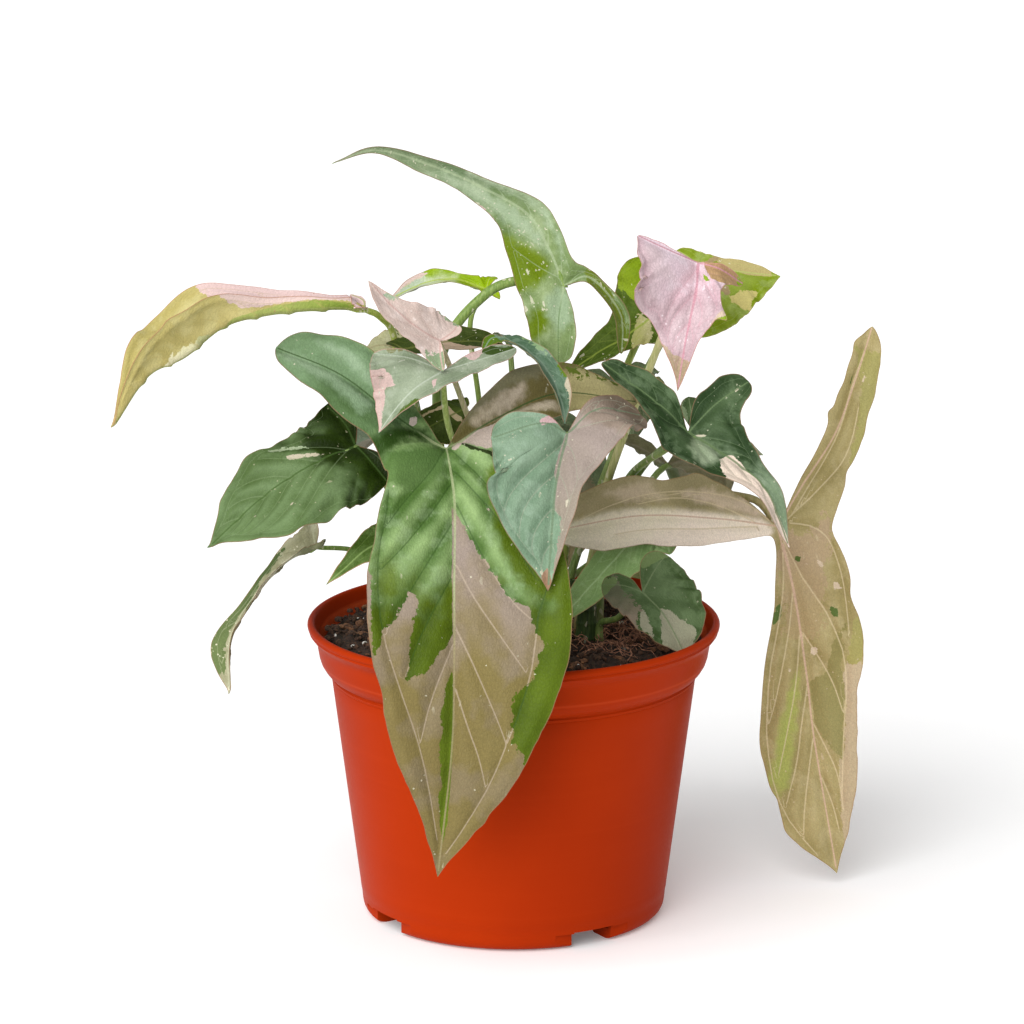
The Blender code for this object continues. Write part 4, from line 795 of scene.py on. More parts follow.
def curve(points, steps):
    """Points at equal steps along a smooth curve through the given ones."""
    given = np.asarray(points, float)
    ends = np.vstack([2 * given[0] - given[1], given, 2 * given[-1] - given[-2]])
    part = np.linspace(0, 1, CURVE_PARTS, endpoint=False)[:, None]
    dense = []
    for a, b, c, d in zip(ends, ends[1:], ends[2:], ends[3:]):
        bend = (2 * a - 5 * b + 4 * c - d) * part ** 2 + (3 * b - a - 3 * c + d) * part ** 3
        dense.append(b + ((c - a) * part + bend) / 2)
    dense = np.vstack(dense + [given[-1:]])
    run = np.concatenate([[0], np.cumsum(np.linalg.norm(np.diff(dense, axis=0), axis=1))])
    at = np.linspace(0, run[-1], steps + 1)
    return np.stack([np.interp(at, run, dense[:, axis]) for axis in range(3)], 1)


def flat_curve(points, steps):
    """The same for points on the flattened blade."""
    return curve([(*point, 0) for point in points], steps)[:, :2]


def vein_frames(line, face, twist=0):
    """Along a vein: its direction, the way the upper face looks, and the way across to the right."""
    along = np.gradient(line, axis=0)
    along /= np.linalg.norm(along, axis=1)[:, None]
    up = [unit(face - np.dot(face, along[0]) * along[0])]
    for way in along[1:]:
        up.append(unit(up[-1] - np.dot(up[-1], way) * way))
    up = np.array(up)
    turn = (radians(twist) * np.linspace(0, 1, len(line)))[:, None]
    up = up * np.cos(turn) + np.cross(along, up) * np.sin(turn)
    return along, up, np.cross(along, up)


def widths(values, share, tip):
    """Half-widths at shares of a vein, from values at equal steps; the tip has none."""
    heights = np.append(np.asarray(values, float), 0.0)
    step = 1 / len(values)
    slope = np.gradient(heights, step)
    slope[-1] = -heights[-2] / step * tip
    low = np.clip((share / step).astype(int), 0, len(values) - 1)
    x = share / step - low
    rise = (2 * x**3 - 3 * x**2 + 1) * heights[low] + (3 * x**2 - 2 * x**3) * heights[low + 1]
    bend = (x**3 - 2 * x**2 + x) * slope[low] + (x**3 - x**2) * slope[low + 1]
    return np.maximum(rise + bend * step, 0) * (share < 1)


def ease(x):
    """0 to 1, smoothly."""
    x = np.clip(x, 0, 1)
    return x * x * (3 - 2 * x)


def lean(across, along, slant=SLANT):
    """The blade's cross lines, leaning from straight across towards the tip."""
    return cos(slant) * across + sin(slant) * along


def toward(ways, first, share, reach):
    """The ways, turned towards the first one near the join."""
    part = ease(share / reach)[:, None]
    mixed = ways * part + first * (1 - part)
    return mixed / np.linalg.norm(mixed, axis=1)[:, None]


def pair(value, side):
    """One value for both sides, or one of two."""
    return value[side] if isinstance(value, tuple) else value


def stalk_foot(leaf):
    """Where the leaf's stalk starts, beside its stem and just over the soil."""
    x, y = CROWNS[leaf["crown"]]
    radius = STEM_RADIUS + leaf["stalk"] + STALK_CLEARANCE
    x += radius * cos(radians(leaf["turn"]))
    y += radius * sin(radians(leaf["turn"]))
    return np.array([x, y, soil_height((x * x + y * y) ** 0.5) + STALK_LIFT])


# ---------------------------------------------------------------- blades

def hash_noise(points, size, seed):
    """Smooth noise from -1 to 1 at points in the plane."""
    random = np.random.default_rng(seed)
    table = random.uniform(-1, 1, (64, 64))
    at = np.asarray(points, float) / size + 1000
    low = np.floor(at).astype(int)
    part = at - low
    part = part * part * (3 - 2 * part)
    corner = [[table[(low[:, 0] + i) % 64, (low[:, 1] + j) % 64] for j in (0, 1)] for i in (0, 1)]
    near = corner[0][0] * (1 - part[:, 1]) + corner[0][1] * part[:, 1]
    far = corner[1][0] * (1 - part[:, 1]) + corner[1][1] * part[:, 1]
    return near * (1 - part[:, 0]) + far * part[:, 0]


def even(points, how_much):
    """Points in a row, each drawn towards its neighbours over and over; the ends stay."""
    points = points.copy()
    how_much = how_much[1:-1, None]
    for _ in range(EVEN_ROUNDS):
        points[1:-1] += how_much * (points[:-2] + points[2:] - 2 * points[1:-1]) / 2
    return points


def spread(tips, flat_tips, count):
    """The first points of a margin, in space and flattened, set evenly along it."""
    run = np.concatenate([[0], np.cumsum(np.linalg.norm(np.diff(tips[:count], axis=0), axis=1))])
    place = np.interp(np.linspace(0, run[-1], count), run, np.arange(count))
    moved = []
    for part in (tips, flat_tips):
        first = [np.interp(place, np.arange(count), column) for column in part[:count].T]
        moved.append(np.vstack([np.stack(first, 1), part[count:]]))
    return moved


class Vein:
    """A line on the flattened blade, with its half-width at its start and end."""

    def __init__(self, line, thick):
        self.line = np.asarray(line, float)
        self.thick = np.linspace(*thick, len(self.line))


def reach_of(points, veins):
    """For each flat point: how far the nearest vein is, its half-width there, and on which side it lies."""
    best = np.full(len(points), 99.0)
    thick = np.full(len(points), 0.1)
    hand = np.ones(len(points))
    for vein in veins:
        for a, b, wide_a, wide_b in zip(vein.line, vein.line[1:], vein.thick, vein.thick[1:]):
            run = b - a
            part = np.clip((points - a) @ run / max(run @ run, 1e-9), 0, 1)
            away = points - a - part[:, None] * run
            gap = np.hypot(*away.T)
            near = gap < best
            best[near] = gap[near]
            thick[near] = (wide_a + part * (wide_b - wide_a))[near]
            hand[near] = np.where(run[0] * away[:, 1] - run[1] * away[:, 0] < 0, -1, 1)[near]
    return best, thick, hand


def inside_by(points, outline):
    """How far each flat point is inside an outline; negative outside."""
    corners = np.asarray(outline, float)
    best = np.full(len(points), 1e9)
    inside = np.zeros(len(points), bool)
    for a, b in zip(corners, np.roll(corners, -1, 0)):
        run = b - a
        part = np.clip((points - a) @ run / max(run @ run, 1e-9), 0, 1)
        best = np.minimum(best, np.hypot(*(points - a - part[:, None] * run).T))
        crosses = (a[1] > points[:, 1]) != (b[1] > points[:, 1])
        rise = b[1] - a[1] if b[1] != a[1] else 1e-9
        inside ^= crosses & (points[:, 0] < a[0] + (points[:, 1] - a[1]) / rise * run[0])
    return np.where(inside, best, -best)


def line_length(points):
    """The length of a line through points."""
    return np.linalg.norm(np.diff(np.asarray(points, float), axis=0), axis=1).sum()


class Sheet:
    """A blade as a fine sheet, in space and flattened."""

    def __init__(self, leaf, cell, veins=None):
        self.leaf, self.cell = leaf, cell
        self.space, self.flat, self.rim, self.faces = [], [], [], []
        self.join = np.array(leaf["join"], float)
        self.face = unit(np.array(leaf["face"], float))
        self.length = line_length(curve([leaf["join"], *leaf["mid"]], 60))
        steps = max(24, round(self.length / cell))
        self.share = np.linspace(0, 1, steps + 1)
        self.mid = curve([leaf["join"], *leaf["mid"]], steps)
        self.frames = vein_frames(self.mid, self.face, leaf.get("twist", 0))
        self.mid_flat = np.stack([self.share * self.length, 0 * self.share], 1)
        self.mid_ids = [self.point(p, q, 9) for p, q in zip(self.mid, self.mid_flat)]
        self.veins_mid = [Vein(self.mid_flat[:-2], (MID_VEIN, 0.22))]
        self.veins_side = []
        for number in range(2):
            self.half(number)
        if veins:
            self.veins_side = [Vein(flat_curve(line, 14), (0.36, 0.24)) for line in veins]

    def point(self, place, flat, rim):
        """A new point's number; its place, its flat place and how far it is inside the margin."""
        self.space.append(place)
        self.flat.append(flat)
        self.rim.append(rim)
        return len(self.space) - 1

    def strip(self, ids, line, ways, ups, flats, flat_ways, half, more, at, calm, ripple, fold, flip):
        """Faces from a vein out to the margin, as rows across."""
        calm = 0.03 + calm * np.exp(-(at / np.where(at < 0, 0.8, ROUND_REACH / self.length)) ** 2)
        fold_at = LOBE_FOLD + (fold - LOBE_FOLD) * ease((at + 0.1) / 0.3)
        ups = even(ups, 0.03 + 0.9 * np.exp(-(at / np.where(at < 0, 0.5, ROUND_REACH / self.length)) ** 2))
        ups /= np.linalg.norm(ups, axis=1)[:, None]
        tips = even(line + ways * (half * np.cos(fold_at))[:, None], calm)
        flat_tips = even(flats + flat_ways * half[:, None], calm)
        if calm.max() > 0.3 and np.interp(0, at, half) > 6:
            count = int(np.searchsorted(at, ROUND_REACH / self.length))
            for _ in range(2):
                tips, flat_tips = spread(tips, flat_tips, count)
                tips, flat_tips = even(tips, calm * 0.3), even(flat_tips, calm * 0.3)
        reach, flat_reach = tips - line, flat_tips - flats
        width = np.linalg.norm(flat_reach, axis=1)
        grown = (1 + more / np.maximum(width, 0.5))[:, None]
        reach, flat_reach, width = reach * grown, flat_reach * grown, width * grown[:, 0]
        columns = max(6, round(width.max() / self.cell))
        rows = []
        for k, wide in enumerate(width):
            row = [ids[k]]
            for column in range(1, columns + 1):
                v = column / columns
                if wide < 0.001 or half[k] == 0:
                    row.append(ids[k])
                    continue
                wave = v * v * sin(2 * pi * 3 * at[k] + ripple)
                wave += RUFFLE * v**4 * sin(2 * pi * 7 * at[k] + 3 * ripple)
                rise = wide * sin(fold_at[k]) * (1.2 * v - 0.2 * v * v) + wave * min(1, wide / 18)
                place = line[k] + reach[k] * v + ups[k] * rise
                row.append(self.point(place, flats[k] + flat_reach[k] * v, wide * (1 - v)))
            rows.append(row)
        for low, high in zip(rows, rows[1:]):
            for k in range(columns):
                ring = list(dict.fromkeys((low[k], high[k], high[k + 1], low[k + 1])))
                if len(ring) > 2:
                    self.faces.append(ring if flip else ring[::-1])

    def edge(self, number, at, width, length):
        """How much wider the blade is along one margin: its own bumps, and small uneven waves."""
        seed = sum(map(ord, str(self.leaf["join"]))) + 7 * number
        run = np.column_stack([at * length, np.full(len(at), 3.3 * number)])
        more = 0.4 * hash_noise(run, 9.0, seed) + 0.12 * hash_noise(run, 3.0, seed + 1)
        more *= np.clip(width / 8, 0, 1) * ease(abs(at) / 0.08)
        for margin, centre, reach, rise in self.leaf.get("edge", []):
            if margin == number:
                more += rise * np.exp(-((at - centre) / reach) ** 2) * (width > 0.001)
        return np.maximum(more, -0.9 * width)

    def half(self, number):
        """One half of the blade, with its basal lobe."""
        leaf = self.leaf
        lobe = leaf["lobes"][number]
        half = leaf["half"][number]
        fold = radians(pair(leaf["fold"], number))
        ripple = 0.3 + 1.7 * number
        length = line_length(curve([leaf["join"], *lobe["to"]], 60))
        run = np.linspace(0, 1, max(12, round(length / self.cell * 1.3)) + 1)
        share = run * (1.5 - 0.5 * run)
        dense = curve([leaf["join"], *lobe["to"]], 400)
        line = np.stack([np.interp(share, np.linspace(0, 1, 401), dense[:, k]) for k in range(3)], 1)
        along, up, right = vein_frames(line, self.face)
        mid_along, mid_up, mid_right = self.frames
        hand = 1 if np.dot(line[3] - self.join, mid_right[0]) > 0 else -1
        out = 1 if np.dot(right[0], mid_along[0]) > 0 else -1
        crowd = ease((np.dot(along[0], mid_along[0]) + 0.7) / 1.2)

        def fan(mid_ways, outer_ways):
            first = unit(mid_ways[0] + outer_ways[0])
            return (toward(mid_ways, first, self.share, 0.22 + 0.45 * crowd),
                    toward(outer_ways, first, share, 0.45 + 0.5 * crowd))

        mid_ways, outer_ways = fan(lean(hand * mid_right, mid_along), lean(out * right, along))
        inner_ways = lean(-out * right, along, SLANT * 0.6)
        lobe_way = unit(np.array([np.dot(along[0], mid_along[0]), np.dot(along[0], mid_right[0])]))
        lobe_right = np.array([-lobe_way[1], lobe_way[0]])
        flat_line = share[:, None] * length * lobe_way
        ahead = np.tile([1.0, 0.0], (len(self.share), 1))
        flat_mid, flat_outer = fan(
            lean(np.tile([0.0, hand], (len(self.share), 1)), ahead),
            lean(np.tile(out * lobe_right, (len(share), 1)), np.tile(lobe_way, (len(share), 1))))
        flat_inner = np.tile(lean(-out * lobe_right, lobe_way, SLANT * 0.6), (len(share), 1))
        ids = [self.mid_ids[0]] + [self.point(p, q, 9) for p, q in zip(line[1:], flat_line[1:])]
        flip = hand < 0
        outer = widths([half[0], *lobe["half"][0]], share, 2.6)
        inner = widths([0, *lobe["half"][1]], share, 2.6)
        main = widths(half, self.share, 0.8)
        more_main = self.edge(number, self.share, main, self.length)
        more_outer = self.edge(number, -share, outer, length)
        more_inner = self.edge(number + 2, -share, inner, length)
        self.strip(
            ids[::-1] + self.mid_ids[1:], np.vstack([line[::-1], self.mid[1:]]),
            np.vstack([outer_ways[::-1], mid_ways[1:]]), np.vstack([up[::-1], mid_up[1:]]),
            np.vstack([flat_line[::-1], self.mid_flat[1:]]), np.vstack([flat_outer[::-1], flat_mid[1:]]),
            np.concatenate([outer[::-1], main[1:]]), np.concatenate([more_outer[::-1], more_main[1:]]),
            np.concatenate([-share[::-1], self.share[1:]]),
            0.6 if length < SHORT_LOBE else 0.04, ripple, fold, flip)
        self.strip(ids, line, inner_ways, up, flat_line, flat_inner, inner, more_inner,
                   -share, 0, ripple, fold, flip)
        self.add_veins(self.mid_flat, flat_mid, main, self.share, self.length)
        self.add_veins(flat_line, flat_outer, outer, share, length)
        self.add_veins(flat_line, flat_inner, inner, share, length)
        self.veins_mid.append(Vein(flat_line[:-2], (MID_VEIN * 0.7, 0.2)))

    def add_veins(self, line, ways, half, share, length):
        """Side veins that arch to a vein along the margin."""
        keep = half > 2.5
        if keep.sum() < 4:
            return
        edge = 1 - np.clip(MARGIN_VEIN / np.maximum(half, 0.1), 0.08, 0.4)
        self.veins_side.append(Vein((line + ways * (half * edge)[:, None])[keep][:-1:2], (0.12, 0.12)))
        if length < SHORT_LOBE:
            return
        count = max(3, round(length / VEIN_GAP * (1 if length > LONG_LEAF else 1.2)))
        for start in (np.arange(count) + 0.25) / count * 0.9:
            route = []
            for v in np.linspace(0, 1, 9):
                wide = np.interp(start, share, half)
                at = start + wide / length * VEIN_LEAD * v * (0.75 + 0.35 * v)
                if at > 0.98:
                    break
                place = [np.interp(at, share, line[:, k]) for k in range(2)]
                way = [np.interp(at, share, ways[:, k]) for k in range(2)]
                reach = np.interp(at, share, half * edge) * v
                route.append(np.array(place) + np.array(way) * reach)
            if len(route) > 3:
                self.veins_side.append(Vein(route, (0.28, 0.14)))

    def finished(self):
        """Numpy arrays of the sheet, in relief, with its normals and what its colours read."""
        space = np.array(self.space)
        flat = np.array(self.flat)
        mid, mid_wide, _ = reach_of(flat, self.veins_mid)
        side, side_wide, hand = reach_of(flat, self.veins_side)
        rim = np.array(self.rim)
        normals = point_normals(space, self.faces)
        size = min(1, self.length / LONG_LEAF)
        inland = ease(rim / 4)
        groove = -0.5 * np.exp(-(side / 1.1) ** 2) * inland - 0.9 * np.exp(-(mid / 2.0) ** 2)
        ridge = 0.3 * np.exp(-(mid / 0.6) ** 2)
        puff = 1.3 * (1 - np.exp(-(side / 4.2) ** 2)) * (1 - np.exp(-(mid / 4.5) ** 2)) * inland
        lumps = 0.35 * hash_noise(flat, 7.0, 21) * (1 - np.exp(-(mid / 4) ** 2)) * inland
        relief = (groove + puff + lumps) * size + ridge
        for line in self.leaf.get("creases", []):
            line = flat_curve(line, 20)
            gap, _, above = reach_of(flat, [Vein(line, (1, 1))])
            ends = [ease(np.hypot(*(flat - end).T) / 5) for end in (line[0], line[-1])]
            fade = np.where(above < 0, np.exp(-(gap / 8) ** 2), np.exp(-(gap / 5) ** 2))
            relief -= CREASE * np.tanh(gap * above / 0.6) * fade * ends[0] * ends[1]
        space = space + normals * relief[:, None]
        normals = point_normals(space, self.faces)
        return space, flat, normals, mid, mid_wide, side, side_wide * hand, rim


def triangles(faces):
    """Faces as triangles."""
    return np.array([(f[0], f[k], f[k + 1]) for f in faces for k in range(1, len(f) - 1)])


def point_normals(space, faces):
    """Normals at the points of a mesh."""
    corners = triangles(faces)
    a, b, c = (space[corners[:, k]] for k in range(3))
    turned_by = np.cross(b - a, c - a)
    total = np.zeros_like(space)
    for k in range(3):
        np.add.at(total, corners[:, k], turned_by)
    return total / np.maximum(np.linalg.norm(total, axis=1), 1e-12)[:, None]


def margin_of(faces):
    """The edges that only one face has, each in that face's direction."""
    seen = {}
    for face in faces:
        for a, b in zip(face, face[1:] + face[:1]):
            key = (min(a, b), max(a, b))
            seen[key] = None if key in seen else (a, b)
    return [edge for edge in seen.values() if edge]


def tube(line, radii, sides, up=(0.3, 0.2, 1)):
    """Points and faces of a tube with closed ends."""
    line = np.asarray(line, float)
    along = np.gradient(line, axis=0)
    along /= np.linalg.norm(along, axis=1)[:, None]
    side = unit(np.cross(along[0], up))
    points, faces = [], []
    for place, way, radius in zip(line, along, radii):
        side = unit(side - np.dot(side, way) * way)
        other = np.cross(way, side)
        for k in range(sides):
            turn = 2 * pi * k / sides
            points.append(place + radius * (cos(turn) * side + sin(turn) * other))
    for row in range(len(line) - 1):
        for k in range(sides):
            after = (k + 1) % sides
            faces.append([row * sides + k, row * sides + after,
                          (row + 1) * sides + after, (row + 1) * sides + k])
    faces.append(list(range(sides))[::-1])
    faces.append(list(range((len(line) - 1) * sides, len(line) * sides)))
    return np.array(points), faces


def write(mesh, name, values, kind="FLOAT"):
    """One value or vector for each point of a mesh, under a name that a material reads."""
    layer = mesh.attributes.new(name, kind, "POINT")
    layer.data.foreach_set("vector" if kind == "FLOAT_VECTOR" else "value",
                           np.asarray(values, np.float32).ravel())


def stalk_route(leaf, sheet):
    """The stalk's line, from beside its stem to a little past the join, under the mid vein."""
    foot = stalk_foot(leaf)
    under = sheet.frames[1][0]
    route = [foot - (0, 0, 2), foot + (0, 0, 6), *leaf["via"], sheet.join - under * leaf["stalk"] * 0.9]
    line = curve(route, max(24, round(line_length(route) / 2.5)))
    past = [sheet.mid[k] - sheet.frames[1][k] * drop
            for k, drop in zip((round(len(sheet.mid) * 0.03), round(len(sheet.mid) * 0.06)), (1.7, 1.3))]
    return np.vstack([line, past])


def leaf_mesh(name, leaf, look):
    """One leaf: its blade in relief with an upper and a lower skin, and its stalk."""
    long = line_length([leaf["join"], *leaf["mid"]]) > LONG_LEAF
    sheet = Sheet(leaf, CELL if long else CELL * 0.75, look.get("veins"))
    space, flat, normals, mid, mid_wide, side, side_signed, rim = sheet.finished()
    count = len(space)
    thin = THICKNESS * (0.35 + 0.65 * ease(rim / 3))
    rib = 0.9 * np.exp(-(mid / 0.9) ** 2) * np.minimum(1, mid_wide) + 0.22 * np.exp(-(side / 0.5) ** 2)
    lower = space - normals * (thin + rib)[:, None]
    line = stalk_route(leaf, sheet)
    radii = stalk_radii(leaf["stalk"], len(line))
    tube_points, tube_faces = tube(line, radii, 12)
    margin = margin_of(sheet.faces)
    faces = [list(face) for face in sheet.faces]
    faces += [[k + count for k in face[::-1]] for face in sheet.faces]
    faces += [[b, a, a + count, b + count] for a, b in margin]
    blade_faces = len(faces)
    faces += [[k + 2 * count for k in face] for face in tube_faces]
    mesh = mesh_of(name + "_blade", np.vstack([space, lower, tube_points]), faces)
    mesh.polygons.foreach_set("material_index", [0] * blade_faces + [1] * len(tube_faces))
    keys = {tuple(sorted((a + add, b + add))) for a, b in margin for add in (0, count)}
    ends = np.empty(len(mesh.edges) * 2, int)
    mesh.edges.foreach_get("vertices", ends)
    sharp = mesh.attributes.new("sharp_edge", "BOOLEAN", "EDGE")
    pairs = ends.reshape(-1, 2).tolist()
    sharp.data.foreach_set("value", [tuple(sorted(pair_of)) in keys for pair_of in pairs])
    rest = len(tube_points)

    def both(values, stalk_value):
        return np.concatenate([values, values, np.full(rest, stalk_value)])

    seed = sum(map(ord, name)) % 97
    place = np.column_stack([flat, np.full(count, seed * 3.1)])
    write(mesh, "flat", np.vstack([place, place, tube_points]), "FLOAT_VECTOR")
    write(mesh, "mid", both(mid / mid_wide, 9))
    write(mesh, "side", both(side / side_signed, 9))
    write(mesh, "side_mm", both(side, 9))
    write(mesh, "rim", both(rim, 9))
    write(mesh, "under", np.concatenate([np.zeros(count), np.ones(count), np.zeros(rest)]))
    for number, (outlines, *_) in enumerate(look.get("patches", [])):
        depth = np.max([inside_by(flat, outline) for outline in outlines], axis=0)
        write(mesh, f"patch_{number}", both(depth, -50))
    stalk_share = np.repeat(np.linspace(0, 1, len(line)), 12)
    write(mesh, "stalk", np.concatenate([np.zeros(2 * count), stalk_share]))
    return mesh


def stalk_radii(radius, count):
    """A stalk's radii: wide where it sheathes the stem, slowly thinner, and a taper under the blade."""
    part = np.linspace(0, 1, count)
    radii = radius * (1.0 + 0.35 * (1 - ease(part / 0.25)) - 0.22 * part)
    radii[-3:] *= (0.9, 0.6, 0.25)
    return radii


# ---------------------------------------------------------------- materials

class Nodes:
    """Short ways to build one material."""

    def __init__(self, name):
        self.made = bpy.data.materials.new(name)
        self.made.use_nodes = True
        self.tree = self.made.node_tree
        self.shader = self.tree.nodes["Principled BSDF"]

    def add(self, kind, inputs, **settings):
        """A node with its settings, and its inputs as values or as sockets to join."""
        node = self.tree.nodes.new("ShaderNode" + kind)
        for key, value in settings.items():
            setattr(node, key, value)
        for key, value in inputs.items():
            self.give(node.inputs[key], value)
        return node

    def give(self, socket, value):
        """Joins a socket to another, or sets it to a value or to a colour of 0 to 255."""
        if isinstance(value, bpy.types.NodeSocket):
            self.tree.links.new(value, socket)
        else:
            socket.default_value = paint(*value) if socket.type == "RGBA" else value

    def read(self, name, output="Fac"):
        """A value that the mesh carries under a name."""
        return self.add("Attribute", {}, attribute_name=name).outputs[output]

    def math(self, operation, a, b=0.0):
        return self.add("Math", {0: a, 1: b}, operation=operation).outputs[0]

    def plus(self, a, b):
        return self.math("ADD", a, b)

    def times(self, a, b):
        return self.math("MULTIPLY", a, b)

    def mix(self, factor, a, b):
        return self.add("Mix", {0: factor, 6: a, 7: b}, data_type="RGBA").outputs[2]

    def noise(self, place, scale, detail=2.0, rough=0.5):
        inputs = {"Vector": place, "Scale": scale, "Detail": detail, "Roughness": rough}
        return self.add("TexNoise", inputs).outputs["Fac"]

    def cells(self, place, scale, output="Color", feature="F1"):
        return self.add("TexVoronoi", {"Vector": place, "Scale": scale}, feature=feature).outputs[output]

    def chances(self, place, scale):
        """Random values from 0 to 1, the same all over each cell."""
        return self.add("SeparateColor", {"Color": self.cells(place, scale)}).outputs

    def place(self):
        """The place on the piece, in metres."""
        return self.add("TexCoord", {}).outputs["Object"]

    def axes(self, place):
        """The three parts of a place."""
        return self.add("SeparateXYZ", {0: place}).outputs

    def step(self, value, low, high, to_low=0.0, to_high=1.0):
        """A smooth step from low to high."""
        inputs = {"Value": value, "From Min": low, "From Max": high, "To Min": to_low, "To Max": to_high}
        return self.add("MapRange", inputs, interpolation_type="SMOOTHSTEP").outputs[0]

    def stretch(self, place, x, y, z=1.0, turn=0.0):
        inputs = {"Vector": place, "Scale": (x, y, z), "Rotation": (0, 0, turn)}
        return self.add("Mapping", inputs).outputs[0]

    def finish(self, colour, rough, bump=None, strength=0.3, distance=0.0003, **fixed):
        """The material, with its colour, roughness, relief and fixed settings."""
        self.give(self.shader.inputs["Base Color"], colour)
        self.give(self.shader.inputs["Roughness"], rough)
        if bump is not None:
            inputs = {"Height": bump, "Strength": strength, "Distance": distance}
            self.give(self.shader.inputs["Normal"], self.add("Bump", inputs).outputs[0])
        for key, value in fixed.items():
            self.give(self.shader.inputs[key.replace("_", " ")], value)
        return self.made


def leaf_material(name, look):
    """A variegated leaf: a ground colour, patches with jagged borders, flecks, veins and a margin."""
    n = Nodes(name)
    flat = n.read("flat", "Vector")
    mid, side, rim, under = n.read("mid"), n.read("side"), n.read("rim"), n.read("under")
    side_mm = n.read("side_mm")
    along = n.axes(flat)[0]
    cloud = n.noise(flat, 0.06, 3)
    grain = n.noise(flat, 1.6, 3, 0.65)
    dark, light, between = look["ground"]
    if "far" in look:
        far_dark, far_light, start, end = look["far"]
        turn = n.step(n.plus(along, n.step(cloud, 0.3, 0.7, -9, 9)), start, end)
        dark, light = n.mix(turn, dark, far_dark), n.mix(turn, light, far_light)
        between = n.mix(turn, between, far_light)
    spread = n.plus(n.step(side_mm, 0.2, 4.5, 0, look.get("between", 0.6)),
                    n.step(cloud, 0.3, 0.7, -0.2, 0.4))
    spread.node.use_clamp = True
    colour = n.mix(spread, dark, light)
    mottle = n.step(n.noise(flat, 0.14, 3, 0.6), 0.48, 0.64, 0, look.get("mottle", 0.45))
    colour = n.mix(mottle, colour, between)
    cell = n.chances(flat, 0.75)
    fine = n.chances(flat, 2.2)
    wander = n.step(n.noise(flat, 0.3, 3), 0.2, 0.8, -1.2, 1.2)
    jag = n.plus(n.times(n.math("SUBTRACT", cell[0], 0.5), 1.8),
                 n.times(n.math("SUBTRACT", fine[0], 0.5), 0.8))
    loose = n.step(mid, 1, 9, 0.15, 1)  # borders keep close to the mid vein
    covered = 0.0
    for number, (_, near, far, jagged, (start, end)) in enumerate(look.get("patches", [])):
        soft = 0.1 if jagged else 2.2
        uneven = wander
        if jagged:
            uneven = n.times(n.times(n.plus(jag, wander), loose), jagged)
        depth = n.plus(n.read(f"patch_{number}"), uneven)
        blend = n.plus(n.step(along, start, end), n.step(cloud, 0.35, 0.65, -0.25, 0.25))
        blend.node.use_clamp = True
        inside = n.step(depth, -soft, soft)
        colour = n.mix(inside, colour, n.mix(blend, near, far))
        if jagged:
            covered = n.math("MAXIMUM", covered, inside)
    fleck_colour, amount = look.get("flecks", (CREAM, 0.03))
    dash = n.chances(n.stretch(flat, 0.45, 1.3, 1, 0.7), 1.1)
    dot = n.chances(flat, 2.0)
    crowd = n.step(n.noise(flat, 0.09, 2), 0.4, 0.66)
    for cells, share in ((dash, 0.1), (dot, 0.22)):
        chance = n.plus(cells[1], n.times(crowd, amount * share))
        colour = n.mix(n.step(chance, 0.999, 1.001, 0, 0.7), colour, fleck_colour)
    net = n.cells(n.stretch(flat, 0.5, 0.8), 1.1, "Distance", "DISTANCE_TO_EDGE")
    net_tone = n.step(net, 0.0, 0.16, 1 - look.get("net", 0.05), 1.0)
    beside = n.step(side_mm, 1.4, 2.2, 1, 0)
    line = n.times(n.step(n.math("ABSOLUTE", side), 0.5, 1.2, look.get("veined", 0.3), 0), beside)
    vein = n.mix(covered, look["vein"], look.get("patch_vein", look["vein"]))
    colour = n.mix(line, colour, vein)
    near_rib = look.get("rib", look["vein"])
    rib = n.mix(n.step(along, 50, 80), near_rib, look.get("far_rib", near_rib))
    rib = n.mix(n.step(along, -9, -2), look.get("lobe_rib", rib), rib)
    colour = n.mix(n.step(mid, 0.5, 1.3, look.get("ribbed", 0.8), 0), colour, rib)
    colour = n.mix(n.step(rim, 0.1, 0.45, 0.7, 0), colour, look.get("margin", MARGIN))
    colour = n.mix(n.times(under, look.get("behind", 0.45)), colour, look.get("under", UNDER))
    speck = n.noise(flat, 3.4, 2, 0.7)
    tone = n.plus(n.step(grain, 0.25, 0.75, 0.92, 1.06), n.step(cloud, 0.3, 0.7, -0.04, 0.05))
    tone = n.plus(tone, n.step(speck, 0.35, 0.65, -0.07, 0.07))
    tone = n.times(n.times(tone, net_tone), look.get("tone", 1.0) * LEAF_TONE)
    colour = n.add("HueSaturation", {"Value": tone, "Color": colour}).outputs[0]
    rough = n.plus(n.step(grain, 0.2, 0.8, 0.42, 0.52), n.times(under, 0.15))
    bump = n.plus(n.times(grain, 0.5), n.step(net, 0.0, 0.25, 0, 0.6))
    return n.finish(colour, rough, bump, 0.4, 0.0003, Specular_IOR_Level=0.1)


def stalk_material(name, base, light):
    """A smooth green stalk with fine lines and pale flecks along it."""
    n = Nodes(name)
    place = n.place()
    lines = n.noise(n.stretch(place, 1400, 1400, 120), 1, 3)
    colour = n.mix(n.step(lines, 0.35, 0.7, 0.15, 0.7), base, light)
    colour = n.mix(n.step(n.noise(place, 40, 2), 0.5, 0.7, 0, 0.5), colour, light)
    fleck = n.chances(n.stretch(place, 1, 1, 0.45), 900)[0]
    colour = n.mix(n.step(fleck, 0.93, 0.95, 0, 0.5), colour, CREAM)
    colour = n.mix(n.step(n.read("stalk"), 0.0, 0.14, 0.75, 0), colour, (96, 62, 40))
    return n.finish(colour, n.step(lines, 0, 1, 0.38, 0.5), lines, 0.06, 0.0002, Specular_IOR_Level=0.25)


